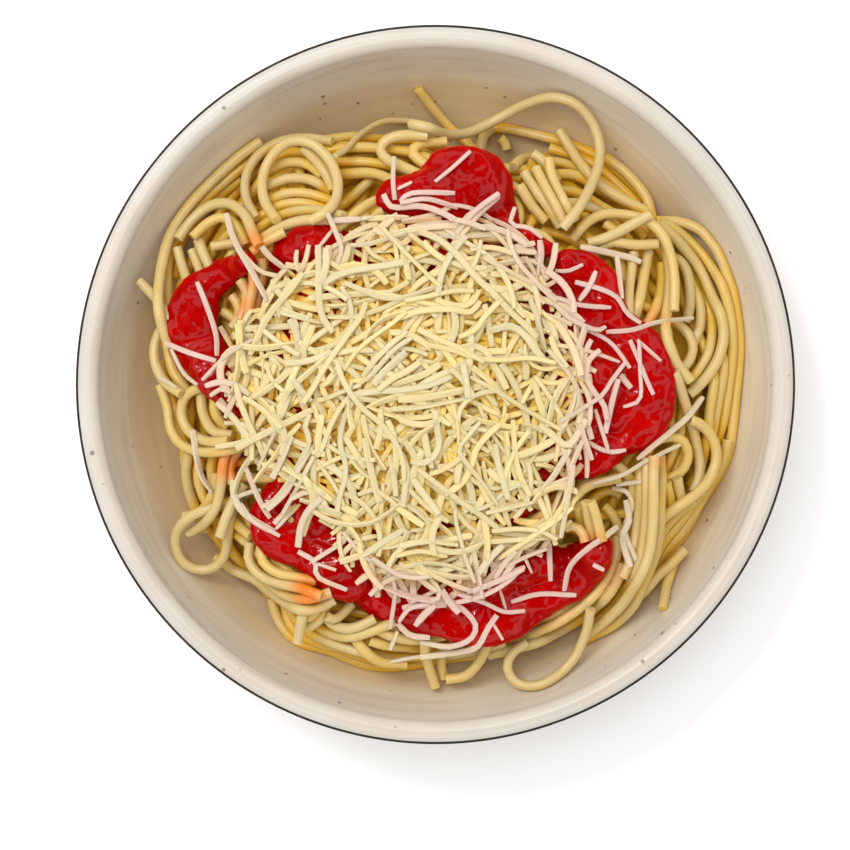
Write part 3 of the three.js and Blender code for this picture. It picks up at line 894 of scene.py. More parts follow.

# The strands that show along the edge of the heap, from the lowest to the uppermost of each side.
# Tone for strands that lie low or behind others: painted shade, golden like the gaps between strands.
GOLDEN_IN_SHADE = 0.85
PALE = 0.0
SHOWN_STRANDS = (
    # Behind the big loop, at the top
    plotted((-33, 65.5), (-24, 67.5), (-14, 67), (-4, 66.5), (6, 62), tone=GOLDEN_IN_SHADE),
    plotted((-31, 63.5), (-22, 64.5), (-12, 64), (-3, 62), (5, 57), tone=GOLDEN_IN_SHADE),
    plotted((-28, 60.5), (-18, 60.5), (-8, 58.5), (0, 55), (6, 50), tone=GOLDEN_IN_SHADE),
    plotted((-27, 57), (-17, 57.5), (-9, 54), (-3, 50), tone=GOLDEN_IN_SHADE),
    plotted((10, 69), (18, 69.8), (27, 68), (36, 65.5), (44, 62), (51, 56.5), (56, 51), (59, 46),
            tone=GOLDEN_IN_SHADE),
    plotted((31, 64.5), (37, 62.5), (43, 60), (50, 54), (55, 49), tone=GOLDEN_IN_SHADE),
    traced((500, 137), (505, 142), (507, 149), tone=GOLDEN_IN_SHADE),
    traced((513, 168), (520, 161), (529, 157), (541, 156), (552, 160)),
    plotted((26, 60), (34, 60.5), (42, 57), (49, 52.5), (56, 47), tone=GOLDEN_IN_SHADE),
    plotted((31, 57), (38, 57), (45, 53), (53, 48.5), tone=GOLDEN_IN_SHADE),
    plotted((32, 53), (39, 52), (46, 48), (53, 44), (57, 40)),
    plotted((33, 49), (40, 49), (47, 45), (52, 40), (55, 34)),
    plotted((46, 62), (52, 57.5), (57, 51.5), (58.8, 46), (60, 40)),
    # The nested arcs on the right
    traced((656, 221), (676, 221), (688, 224), (700, 230), (708, 239), (716, 250), (722, 262), (727, 276),
           (732, 290), (735, 305), (738, 325), (739.5, 345), (739, 362), (737, 382), (735, 402), (733, 425),
           (729, 450), (721, 471), (709, 490), (700, 504), (693, 519), (684, 534), (673, 548), (662, 563),
           (651, 578), (642, 594)),
    traced((660, 222), (672, 228), (686, 238), (700, 252), (710, 268), (718, 286), (724, 305), (728, 325),
           (730, 345), (730, 365), (728, 384), (726, 402), (723, 422), (718, 442), (712, 460), tone=GOLDEN_IN_SHADE),
    traced((697, 304), (706, 324), (714, 340), (721, 356), (722, 374), (719, 394), (716, 412), (713, 430),
           (709, 448)),
    traced((699, 336), (706, 352), (712, 368), (713, 385), (711, 400), (709, 414), (708, 430), (704, 450),
           (700, 470), (690, 486), tone=GOLDEN_IN_SHADE),
    traced((690, 268), (697, 282), (702.5, 298), (709, 310), (712, 322), (712, 335), (710, 347), (706, 358),
           (700, 368), (694, 376), (687, 384)),
    traced((688, 276), (694, 288), (699, 300), (701, 312), (700, 325), (696, 336), (692, 346)),
    traced((658, 224), (667, 231), (677, 240), (686, 250), (695, 261), (701, 271), (706, 281), (710, 291),
           (714, 301), (718.5, 312), (722, 325), (723, 338), (721, 350), (717.5, 360), (712.5, 369),
           (705, 379), (697.5, 387), (689, 394)),
    plotted((61.5, 33), (61.5, 26), (59.5, 20), (56, 14), (51, 9), tone=GOLDEN_IN_SHADE),
    traced((672, 257), (678, 259), (683, 264), (687, 272), (689, 283), (690, 298), (689, 312), (686, 322)),
    traced((674, 322), (682, 327), (689, 335), (693, 346), (691, 357), (685, 366), (678, 370)),
    plotted((58, 36.5), (56.8, 30), (55.6, 24), (54, 18)),
    plotted((54, 36), (53.2, 30), (52.5, 24), (52.5, 18)),
    plotted((69.5, 1), (66, 5), (63.6, 10), (62.4, 16), (63.6, 24), (63.8, 31), (62.5, 38), (59.5, 44)),
    # The lower right: short strands between the cheese and the bundle
    traced((602, 458), (613, 463), (624, 471), (632, 482)),
    traced((572, 501), (582, 490), (593, 484), (606, 481), (620, 478)),
    traced((591, 501), (600, 493), (611, 490), (621, 495), tone=GOLDEN_IN_SHADE),
    traced((576, 505), (580, 520), (584, 536), (586, 548), tone=GOLDEN_IN_SHADE),
    traced((584, 500), (587, 515), (590, 527), (592, 542)),
    traced((590, 501), (594, 511), (597, 523), (601, 540)),
    traced((604, 506), (612, 514), (618, 526), (620, 540), tone=GOLDEN_IN_SHADE),
    traced((565, 528), (574, 526), (582, 532), (585, 542)),
    # The lower right: the strands that run down to the wall, and the loop over them
    traced((728, 440), (722, 462), (710, 484), (698, 506), (684, 528), (668, 548), (654, 568), (640, 586),
           (624, 602)),
    traced((704, 490), (692, 505), (680, 522), (667, 537), (660, 549), (652, 565), (643, 582), tone=GOLDEN_IN_SHADE),
    traced((694, 500), (680, 512), (667, 525), (658, 540), (648, 556)),
    traced((661, 608), (664, 597), (666, 586), (670, 574), (674, 560)),
    traced((685, 549.5), (675, 560), (665, 569), (656, 577), (646, 589), (634, 600)),
    plotted((56, -17.5), (62, -14.5), (67, -15), (68.7, -19.5), (66.5, -24), (61.5, -26), tone=GOLDEN_IN_SHADE),
    traced((677, 478), (680, 492), (683, 503)),
    traced((666, 482), (670, 496), (672, 510), tone=GOLDEN_IN_SHADE),
    traced((673, 372), (677.5, 381), (682, 394), (686, 406), (690, 418), (694, 432), (697, 446), (700, 462),
           (699, 478), (693, 492)),
    traced((690, 420), (698, 423), (707, 430), (714, 441), (717, 455), (714, 470), (706, 484), (693, 496),
           (678, 506), (665, 516), (652, 528), lift=0.6),
    # The bundle that sweeps round the lower right
    traced((613, 540), (613, 556), (609, 572), (601, 583), (590, 592), (577, 601), (562, 610), (547, 617),
           (532, 625), (519, 634), (506, 640), tone=GOLDEN_IN_SHADE),
    traced((618, 536), (616, 555), (611, 573), (603, 586), (593, 597), (581, 607), (567, 616), (553, 624),
           (538, 631), (522, 639), (508, 646), (492, 649)),
    traced((632, 482), (634, 500), (634, 524), (630, 548), (622, 566), (612, 584), tone=GOLDEN_IN_SHADE),
    traced((622, 562), (616, 578), (606, 592), (596, 604), (585, 615), (572, 624), (558, 632), (540, 640),
           (522, 646), (505, 651), (488, 655)),
    traced((640, 466), (640, 485), (640, 505), (638, 525), (634, 548), (630, 562), (622, 577)),
    traced((647, 458), (646, 480), (646, 505), (644, 530), (639, 555), (628, 580), (614, 602), (600, 618),
           (588, 629)),
    traced((661, 456), (661, 480), (660, 505), (659, 530), (655, 555), (645, 580), (634, 603), (621, 619),
           (607, 629), (594, 635), (582, 641)),
    traced((654, 456), (653, 480), (653, 505), (652, 530), (648, 555), (636, 581), (624, 602), (610, 617),
           (597, 628), (585, 636)),
    plotted((42, -61), (41, -67), (38, -74), (33, -79), (27, -81.7), (22, -81), (19.5, -77), (21, -73),
            (25, -70), lift=1.0, tone=PALE),
    # The bottom
    traced((272, 598), (275, 612), (281, 625), (290, 636), (302, 643), (316, 647), (331, 651), (347, 658),
           (364, 664), (385, 667), (405, 666), (430, 662), (455, 658), (480, 654)),
    traced((284, 606), (288, 620), (297, 632), (309, 639), (323, 644), (339, 648), (354, 654), (370, 658),
           (388, 660)),
    traced((330, 645), (350, 645), (370, 641), (388, 634), (402, 624)),
    traced((370, 640), (388, 645), (410, 647), (432, 647), (456, 645), (480, 640), tone=GOLDEN_IN_SHADE),
    traced((376, 629), (392, 636), (410, 640), (430, 640)),
    plotted((-41, -57), (-39, -62.5), (-34, -67.5), (-27, -70.5), (-19, -72.5), (-10, -74), (0, -74),
            (10, -72.5), (19, -70)),
    plotted((2.5, -80), (1.5, -76), (2, -71), tone=GOLDEN_IN_SHADE),
    plotted((0, -82.5), (-1.3, -78.5), (-2.6, -74), (-3, -69)),
    plotted((2.8, -80.2), (8, -79.4), (11.5, -76), (14, -71), (15, -66)),
    plotted((-22, -69), (-18.5, -73), (-14.5, -75.6), (-8, -76), tone=GOLDEN_IN_SHADE),
    plotted((-36, -59), (-34, -63.5), (-29.5, -67.3), (-23.5, -68.5), (-17.5, -67), (-11, -64.5)),
    plotted((-31.5, -59), (-30.5, -62.5), (-27, -65.8), (-22, -66), (-16.5, -63.5)),
    traced((330, 600), (325, 610), (319, 620), (308, 628)),
    traced((352, 604), (344, 613), (335, 619), (327, 616)),
    traced((320, 594), (318, 606), (313, 615), (304, 618)),
    plotted((-37.5, -70.3), (-36.6, -65), (-35.3, -60), (-33, -55), tone=PALE),
    # The lower left, with its small loop
    plotted((-60, -47), (-55, -50.5), (-49.5, -53), (-45, -56.5), (-39.5, -60), (-33, -61), (-27.5, -58.5)),
    plotted((-44, -47), (-41, -50), (-37, -54), (-33, -57), tone=GOLDEN_IN_SHADE),
    plotted((-49, -50), (-45, -54.5), (-40, -57.5), (-34, -58), (-28.5, -56.5)),
    plotted((-47.5, -44), (-47, -48), (-43.5, -51), (-38, -52.3), (-32.5, -53.5), tone=GOLDEN_IN_SHADE),
    plotted((-50.5, -43), (-50.8, -48), (-47.5, -52.2), (-42, -54.3), (-36, -55.5), (-31, -57.5)),
    plotted((-67, -18.5), (-67.8, -24), (-66.8, -30), (-64.5, -35.5), (-62, -40)),
    plotted((-64, -20), (-64.5, -26), (-62.5, -32), (-59, -37), tone=GOLDEN_IN_SHADE),
    plotted((-60, -18), (-61, -24), (-59, -31), (-54, -38), (-50, -41), tone=GOLDEN_IN_SHADE),
    plotted((-68.5, -36), (-64, -34.8), (-60.5, -30), (-59.5, -24)),
    plotted((-50, -28.5), (-55, -31.5), (-60.5, -33.5), (-66, -35.5), (-69.8, -39), (-70.8, -43.5),
            (-69, -48), (-65, -50.4), (-60.3, -49.8), (-57.2, -46), (-56.4, -40.5), (-55, -34),
            (-51.5, -28), lift=0.6, tone=PALE),
    plotted((-58.7, -41.5), (-57, -36.5), (-54.5, -31), (-52, -27), tone=PALE),
    plotted((-55, -27), (-56, -23), (-54.5, -19), (-51.5, -15)),
    plotted((-68, -41), (-63.5, -38.3), (-60, -34), (-58.3, -27.5), (-57.6, -21), (-56, -16), tone=PALE),
    # Inside the ketchup's left crescent
    traced((232, 296), (239, 306), (238, 318), (232, 328)),
    traced((240, 280), (247, 292), (246, 306), (240, 320)),
    traced((262, 258), (262, 276), (258, 294), (256, 314), (254, 336)),
    traced((250, 262), (254, 282), (250, 302), (248, 322), (250, 342)),
    # The left
    plotted((-74.5, 21), (-73.5, 14), (-72.5, 8), (-71, 3), (-67.5, -1.5), tone=GOLDEN_IN_SHADE),
    plotted((-60, -3), (-59.8, -8), (-57, -12), tone=GOLDEN_IN_SHADE),
    plotted((-64, -2), (-63.3, -8), (-60.3, -12.8), (-55, -13.8)),
    plotted((-58, -0.5), (-64, -0.8), (-68.3, -3.5), (-69.2, -8.5), (-67, -13), (-62, -15.5), (-56, -15.3)),
    plotted((-75, 0), (-73, -6), (-72.2, -12), (-69.5, -16.2), (-64.5, -18.3), (-58.5, -18.2), (-52.5, -17),
            (-46, -14.5)),
    plotted((-67, 19.5), (-71.5, 17.5), (-74.8, 14.8), (-76.6, 10), (-76, 5), (-73.5, 0.5), (-69, -2.5)),
    plotted((-53, 56), (-60, 50.5), (-66, 44), (-70, 37), (-71, 29), tone=GOLDEN_IN_SHADE),
    plotted((-50, 61), (-57, 55.5), (-64, 49), (-69.5, 42), (-72.5, 34.5), (-73, 27), (-72.5, 20),
            tone=GOLDEN_IN_SHADE),
    plotted((-80.6, 28.2), (-77.5, 25), (-74.5, 21.5), (-72, 17)),
    plotted((-47.5, 66.3), (-54, 61.5), (-61, 55), (-67.5, 48), (-72.3, 40.5), (-74.6, 32), (-75.3, 24),
            (-74.4, 16.5), (-72.5, 10)),
    plotted((-61, 37.5), (-56, 38.3), (-50, 38.5)),
    plotted((-70.3, 37.3), (-68.9, 32), (-66.6, 26)),
    plotted((-66.3, 36.7), (-64.3, 31.5), (-62.3, 27)),
    plotted((-64.6, 39.3), (-62.6, 34.5), (-60.5, 30)),
    # The nested curls at the upper left
    plotted((-45, 61), (-39, 63.3), (-33, 61.5), (-29, 57), tone=GOLDEN_IN_SHADE),
    plotted((-46, 57.5), (-41, 60.3), (-35, 60), (-30.5, 56.5), tone=GOLDEN_IN_SHADE),
    plotted((-45.5, 54), (-40, 56), (-34, 55.5), (-28.5, 52.5)),
    plotted((-45.5, 50), (-40, 52), (-34, 51.8), (-27, 49.5)),
    plotted((-48, 45.5), (-42, 48.8), (-35, 49.2), (-28, 47)),
    plotted((-49, 41.5), (-44, 45), (-38, 47), (-31, 47.2), (-25, 45.5)),
    plotted((-47.5, 39.5), (-42, 42.8), (-36, 44.6), (-29, 44.8)),
    plotted((-50, 36), (-46, 39), (-41, 41.5)),
    plotted((-66, 40), (-62, 44), (-57.5, 45.5), (-53.5, 42.5), (-51.5, 38), tone=GOLDEN_IN_SHADE),
    plotted((-48.5, 45), (-51.3, 50), (-51.8, 55.5), (-49.8, 60.5), (-46, 64.3), (-41, 66.6), (-35, 67),
            (-28, 66)),
    plotted((-36, 64.5), (-32.5, 61), (-29.5, 57), (-28, 53)),
    plotted((-43, 44.5), (-46.3, 49.5), (-47.2, 55.5), (-45, 61.5), (-40.3, 65.8), (-34, 65.6), (-29, 61.3),
            (-26.6, 55.5), (-27.2, 50), (-30, 46.5), (-34, 44.5), lift=1.0),
    plotted((-70, 39.5), (-66.5, 44.5), (-61.5, 48.6), (-56, 49.2), (-51.8, 46), (-49.8, 41.5),
            (-47.8, 37.5), lift=0.8),
    # The top, with the thin stray strand, the big loop and the cut ends
    plotted((3, 66), (-4, 65.5), (-6.2, 63), (-3, 60), (3, 56), tone=GOLDEN_IN_SHADE),
    plotted((-2, 67.3), (-8, 67.6), (-13, 66.6), (-15, 63.8), (-13, 61), (-8.5, 59), (-3, 56), (3, 52)),
    plotted((-3, 71), (-9, 71.9), (-15, 71.4), (-20.5, 68), (-24, 64.2), (-27.3, 61.5), tone=-0.6,
            girth=0.62),
    plotted((15.5, 70), (13, 67.5), (12.3, 64.5), (11, 61)),
    plotted((-4.7, 80.2), (-0.5, 75), (4, 70), (8, 66.5), (12, 62), tone=GOLDEN_IN_SHADE),
    plotted((26.5, 62.8), (29.5, 60.5), (33, 55)),
    plotted((22.7, 54.2), (26, 49), (30, 44.5)),
    plotted((24.2, 57.8), (27.5, 52.5), (31.2, 47.5), (34, 43)),
    plotted((27.3, 59.2), (30, 53.5), (33.5, 47), (35.5, 43)),
    plotted((30.8, 61.6), (31.6, 57), (34.5, 50.5), (38, 44.5)),
    plotted((33.7, 69.2), (37, 63.8), (41, 58), (45.7, 53.5), (51, 50.3), (57.3, 47.2)),
    plotted((46, 44), (49.5, 41), (50, 37), tone=GOLDEN_IN_SHADE),
    plotted((60.6, 38.3), (54, 38), (48, 38.6), (43, 36)),
    plotted((37.5, 39.5), (40.5, 43.5), (45.5, 46.3), (51.5, 46.3), (57, 44.8), (61.5, 41), (64, 35),
            (65, 28), (64.8, 20)),
    plotted((58.4, 46.3), (52.5, 43), (46.5, 40), (41.5, 38.5), tone=PALE),
    plotted((-6.5, 69.8), (-2.5, 68.6), (3, 67.6), (9, 68.5), (16, 71.8), (24, 76), (31, 77.9),
            (37.5, 76.3), (42.3, 71.8), (44.7, 65.5), (44.3, 59.5), (42, 53.5), (38.8, 47.8), (34.5, 42.5),
            lift=2.5, tone=PALE),
)

# Where the ketchup has run into the strands: middle of each stain, its radius and its strength.
SAUCE_STAINS = (
    ((-54, -21.5), 4.5, 0.95),
    ((-56.5, 26), 5, 0.45),
    ((58, 17), 4.5, 0.45),
    ((-47.5, 36), 5, 0.7),
    ((-48, 27), 4, 0.6),
    ((-48.5, 19), 5, 0.6),
    ((-33, -54), 5, 0.95),
    ((59.5, -20), 3.5, 0.5),
    ((41, -41.5), 5, 0.55),
    ((64.5, -6), 3.5, 0.3),
    ((43, -22), 5, 0.55),
    ((27, -18), 6, 0.55),
    ((31, -33), 5, 0.45),
    ((30, -60), 8, 0.2),
    ((46, -50), 6, 0.2),
)


@dataclass
class Spaghetti:
    """The heap of spaghetti: a packed core, a bed of strands laid every way, and the strands that show."""

    plate: Plate
    strand_diameter: float = 2.85
    heap_radius: float = 79
    edge_height: float = 27
    top_height: float = 50
    roundness: float = 0.8
    core_radius: float = 76
    core_setback: float = 3
    core_depth: float = 7
    wall_clearance: float = 0.8
    bed_depth: float = 0.8
    layer_depth: float = 2.3
    most_layers: float = 3
    bed_strands: int = 190
    runs: float = 0.5
    run_spans: Place = (30, 75)
    run_reaches: Place = (34, 79)
    run_wander: float = 3.5
    run_knots: int = 5
    curls: float = 0.2
    curl_reaches: Place = (10, 68)
    curl_half_lengths: Place = (7, 14)
    curl_half_widths: Place = (6, 12)
    curl_turns: Place = (130, 300)
    loose_reach: float = 72
    loose_lengths: Place = (20, 55)
    loose_bends: Place = (-90, 90)
    least_room: float = 0.4
    # The bed lies under the strands that show, so its tones run golden: painted shade.
    bed_tones: Place = (0.45, 1.0)
    shown_tones: Place = (0.0, 0.6)
    girths: Place = (0.95, 1.05)
    strand_reach: float = 2.4
    levelling_width: float = 5
    levelling_passes: int = 3
    underside_steps: int = 14
    top_steps: int = 24
    core_steps: int = 96
    stain_fade: Place = (0.3, 1.2)
    lift_roundness: float = 0.8
    swelling: float = 0.02
    swell_step: float = 0.7
    swell_phase: float = 6
    bed_sides: int = 8
    tries: int = 7
    stiffness: float = 4.0
    ring_step: float = 1.9
    sides: int = 10
    neighbourhood: float = 7.0
    bed_crest_and_gap: Place = (1.8, 3.4)
    shown_crest_and_gap: Place = (0.9, 3.4)
    seed: int = 5
    pasta: CookedPasta = field(default_factory=CookedPasta)

    def surface(self, reach: np.ndarray) -> np.ndarray:
        """Height of the heap where its top strands show."""
        inside = np.clip(1 - (reach / self.heap_radius) ** 2, 0, 1)
        return self.edge_height + (self.top_height - self.edge_height) * inside**self.roundness

    def core_profile(self) -> list[Place]:
        """Lists the corners of the core's section, from the axis below to the axis above."""
        underside = np.linspace(0, self.core_radius, self.underside_steps)
        top = np.linspace(self.core_radius, 0, self.top_steps)
        slope = np.gradient(self.plate.inner_height(underside), underside)
        clearance = self.wall_clearance * np.hypot(1, slope)
        below = list(zip(underside, self.plate.inner_height(underside) + clearance))
        return below + list(zip(top, self.surface(top) - self.core_depth))

    def core_share(self, plan: np.ndarray) -> np.ndarray:
        """Share of the core's radius that the uneven heap leaves it at each point's bearing."""
        edge = round_the_plate(HEAP_OUTLINE, bearings(plan))
        return np.minimum(1, (edge - self.core_setback) / self.core_radius)

    def core(self) -> Piece:
        """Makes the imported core, drawn in where the heap stays clear of the plate's wall."""
        piece = spun("spaghetti_core", self.core_profile(), self.core_steps)
        corners = np.array([corner.co for corner in piece.data.vertices])
        corners[:, :2] *= self.core_share(corners)[:, None]
        piece.data.vertices.foreach_set("co", corners.ravel())
        # Painted shade: the core shows only down in gaps, so it takes the deepest golden colour.
        mark_evenly(piece, depth=1.0, tone=1.0)
        return piece

    def stain(self, line: np.ndarray) -> np.ndarray:
        """How much sauce a strand has taken up at each point of its line."""
        amount = np.zeros(len(line))
        for middle, radius, most in SAUCE_STAINS:
            near = np.linalg.norm(line[:, :2] - middle, axis=1) / radius
            amount = np.maximum(amount, most * (1 - smooth_step(*self.stain_fade, near)))
        return amount

    def bed_routes(self, draw: np.random.Generator) -> Iterator[np.ndarray]:
        """Draws routes for the bed, without end: runs round the heap, curls and straight pieces."""
        while True:
            bearing = draw.uniform(0, 360)
            kind = draw.random()
            if kind < self.runs:
                span = draw.uniform(*self.run_spans) * draw.choice([-1, 1])
                turns = np.radians(np.linspace(bearing, bearing + span, self.run_knots))
                first = draw.uniform(*self.run_reaches)
                reach = first + np.cumsum(draw.normal(0, self.run_wander, self.run_knots))
                yield through(*zip(reach * np.cos(turns), reach * np.sin(turns)))
            elif kind < self.runs + self.curls:
                middle = at_bearing(bearing, draw.uniform(*self.curl_reaches))
                start = draw.uniform(0, 360)
                half_axes = (draw.uniform(*self.curl_half_lengths), draw.uniform(*self.curl_half_widths))
                yield curl(middle, half_axes, start, start + draw.uniform(*self.curl_turns))
            else:
                middle = at_bearing(bearing, self.loose_reach * math.sqrt(draw.random()))
                heading, length = draw.uniform(0, 360), draw.uniform(*self.loose_lengths)
                yield loose_end(middle, heading, length, draw.uniform(*self.loose_bends))

    def inside_heap(self, plan: np.ndarray) -> np.ndarray:
        """Says for each point of a plan whether it lies within the uneven outline of the heap."""
        return np.hypot(plan[:, 0], plan[:, 1]) < round_the_plate(HEAP_OUTLINE, bearings(plan))

    def bed_height(self, ground: HeightMap) -> np.ndarray:
        """Finds how high the bed may rise, so that the strands that show end up at the heap's surface.

        Args:
            ground: the grid to use.

        Returns:
            The height over the grid.
        """
        layers = np.zeros_like(ground.heights)
        for strand in SHOWN_STRANDS:
            rows, columns, _ = ground.cells_under(strand.route, self.strand_reach)
            covered = np.zeros(layers.shape, bool)
            covered[rows, columns] = True
            layers += covered
        for _ in range(self.levelling_passes):
            layers = ground.blurred(layers, self.levelling_width)
        depth = self.bed_depth + self.layer_depth * np.minimum(layers, self.most_layers)
        return self.surface(np.hypot(ground.x, ground.y)) - depth

    def lay_bed(self, ground: HeightMap, mesh: StrandMesh, draw: np.random.Generator) -> None:
        """Lays the bed of strands, each where the heap is still the lowest of a few tries.

        Args:
            ground: what lies on the plate so far.
            mesh: the strands' mesh.
            draw: the source of the random routes.
        """
        target = self.bed_height(ground)
        routes = self.bed_routes(draw)
        for _ in range(self.bed_strands):
            candidates = []
            while len(candidates) < self.tries:
                route = next(routes)
                if self.inside_heap(route).all():
                    candidates.append(route)
            room = [(ground.at(plan, target) - ground.at(plan)).mean() for plan in candidates]
            best = int(np.argmax(room))
            if room[best] > self.least_room:
                strand = Strand(candidates[best], tone=draw.uniform(*self.bed_tones))
                self.lay_strand(ground, mesh, strand, draw, self.bed_sides)

    def lay_strand(
        self, ground: HeightMap, mesh: StrandMesh, strand: Strand, draw: np.random.Generator, sides: int
    ) -> None:
        """Drapes one strand over the heap and adds it to the mesh.

        Args:
            ground: what lies on the plate so far.
            mesh: the strands' mesh.
            strand: the strand's route and how it differs.
            draw: the source of its random girth and tone.
            sides: how many faces go round it.
        """
        diameter = self.strand_diameter * strand.girth * draw.uniform(*self.girths)
        share = np.linspace(0, 1, len(strand.route))
        lift = strand.lift * np.sin(np.pi * share) ** self.lift_roundness
        line = draped_as_seen(ground, strand.route, diameter / 2, self.stiffness, lift)
        ground.lay(line, diameter / 2)
        rings = sampled(line, self.ring_step)
        tone = strand.tone if strand.tone is not None else draw.uniform(*self.shown_tones)
        wave = np.sin(np.arange(len(rings)) * self.swell_step + draw.uniform(0, self.swell_phase))
        widths = diameter * (1 + self.swelling * wave)
        section = round_section(sides)
        untwisted = np.zeros(len(rings))
        mesh.sweep(rings, widths, widths, untwisted, section, tone=np.array(tone), stain=self.stain(rings))

    def build(self, ground: HeightMap) -> None:
        """Makes and dresses the core and the strands.

        Args:
            ground: what lies on the plate so far, to which the heap is added.
        """
        material = self.pasta.material()
        finish_piece(self.core(), material, Shading.ROUND, "spaghetti")
        share = ground.over(self.core_share)
        reach = np.hypot(ground.x, ground.y) / share
        on_core = np.where(reach < self.core_radius, self.surface(reach) - self.core_depth, 0)
        ground.heights = np.maximum(ground.heights, on_core)

        draw = np.random.default_rng(self.seed)
        bed = StrandMesh("spaghetti_bed", ("tone", "stain"))
        self.lay_bed(ground, bed, draw)
        shown = StrandMesh("spaghetti_strands", ("tone", "stain"))
        for strand in SHOWN_STRANDS:
            self.lay_strand(ground, shown, strand, draw, self.sides)
        # The depth mark paints shade in the gaps between strands.
        for mesh, crest_and_gap in ((bed, self.bed_crest_and_gap), (shown, self.shown_crest_and_gap)):
            mesh.mark_depth(ground, self.neighbourhood, *crest_and_gap)
            finish_piece(mesh.build(), material, Shading.ROUND_WITH_CUT_ENDS, "spaghetti")


# Ketchup


@dataclass(frozen=True)
class TomatoKetchup:
    """Tomato ketchup: a thick smooth purée. Its reflection is held low where it lies flat, as painted shade
    standing in for a dark sky overhead, is full on gentle slopes and lower again on steep sides.
    """

    body: str = "9c0000"
    thin: str = "b80501"
    brink: str = "cc2408"
    cloud_size: float = 14
    ripple_size: float = 9.0
    crease_size: float = 3.2
    # Tilts that set how much it reflects: little on flats, as painted shade for a dark sky overhead, fully on
    # gentle slopes, less on steep sides.
    flat_facing: float = math.cos(math.radians(15))
    sheen_facing: float = math.cos(math.radians(18))
    side_facing: float = math.cos(math.radians(27))
    steep_facing: float = math.cos(math.radians(34))

    def material(self) -> Material:
        """Builds the ketchup's nodes."""
        material = new_material("tomato_ketchup")
        tree = material.node_tree
        place = object_place(tree)
        cloud = clouds(tree, place, self.cloud_size, 3)
        colour = blended(tree, ranged(tree, cloud, 0.4, 0.75), linear(self.body), linear(self.thin))
        turned_away = add_node(tree, "ShaderNodeLayerWeight", {"Blend": 0.5}).outputs["Facing"]
        thinning = ranged(tree, turned_away, 0.35, 0.85, 0.0, 0.8)
        ripple = clouds(tree, place, self.ripple_size, 1, Distortion=0.8)
        crease = clouds(tree, place, self.crease_size, 0, Distortion=1.5)
        stirred = ranged(tree, cloud, 0.45, 0.6, 0.0, 0.07)
        bump = bumped(tree, maths(tree, "MULTIPLY_ADD", crease, stirred, ripple), 1.0, 1.6)
        facing = add_node(tree, "ShaderNodeSeparateXYZ", {0: bump}).outputs[2]
        # Painted shade in the reflection: flat parts reflect little, standing in for a dark sky overhead; steep
        # sides reflect less.
        sheen_on_slopes = ranged(tree, facing, self.flat_facing, self.sheen_facing, 0.02, 0.6)
        thick = ranged(tree, facing, self.steep_facing, self.side_facing, 0.1, 1.0)
        inputs = {
            "Base Color": blended(tree, thinning, colour, linear(self.brink)),
            "Roughness": 0.1,
            "IOR": 1.4,
            "Specular IOR Level": maths(tree, "MULTIPLY", sheen_on_slopes, thick),
            "Normal": bump,
        }
        return give_surface(material, inputs)


# Each stroke of ketchup: the pixels of the photograph that its middle passes, and its radius in pixels.
KETCHUP_STROKES = (
    # The round lobe at the top, and its arm to the left
    ((472, 190, 42), (462, 188, 42), (452, 186, 36)),
    ((470, 200, 30), (436, 193, 24), (412, 197, 21), (394, 198, 19)),
    ((490, 205, 24), (505, 222, 14)),
    # Upper left
    ((283, 257, 15), (300, 250, 20), (325, 246, 20), (352, 250, 15)),
    # The crescent on the left
    ((246, 262, 10), (234, 267, 12), (213, 277, 15), (194, 299, 23), (188, 325, 25), (200, 352, 25),
     (214, 376, 19),
     (230, 395, 16), (244, 408, 12)),
    # Lower left
    ((292, 448, 10), (286, 470, 11), (280, 490, 13), (270, 503, 12)),
    ((263, 508, 10), (266, 520, 14), (278, 536, 22), (300, 546, 22), (322, 556, 20)),
    ((296, 500, 13), (316, 520, 15), (340, 545, 16)),
    # Bottom
    ((326, 562, 20), (340, 572, 25), (362, 577, 29), (385, 590, 30), (410, 605, 26), (440, 612, 26),
     (470, 622, 24),
     (495, 622, 24), (520, 607, 25), (548, 590, 24), (572, 577, 24), (590, 562, 21), (597, 548, 14)),
    # Right
    ((570, 266, 16), (590, 281, 24), (600, 305, 23), (614, 325, 22), (638, 350, 25), (648, 380, 27),
     (649, 405, 26),
     (638, 428, 22), (620, 440, 17), (603, 453, 15), (588, 464, 14), (565, 465, 12), (545, 464, 9)),
    ((556, 322, 14), (583, 345, 17), (594, 380, 19), (588, 418, 17), (562, 452, 14)),
    ((610, 392, 14), (622, 402, 15), (612, 420, 14)),
    ((572, 290, 12), (586, 300, 13), (602, 352, 12), (617, 366, 13)),
    # Between the cheese and the bottom
    ((455, 592, 14), (485, 586, 14), (518, 570, 15), (545, 564, 15), (575, 561, 14)),
    # Upper right
    ((528, 237, 9), (546, 251, 9)),
)


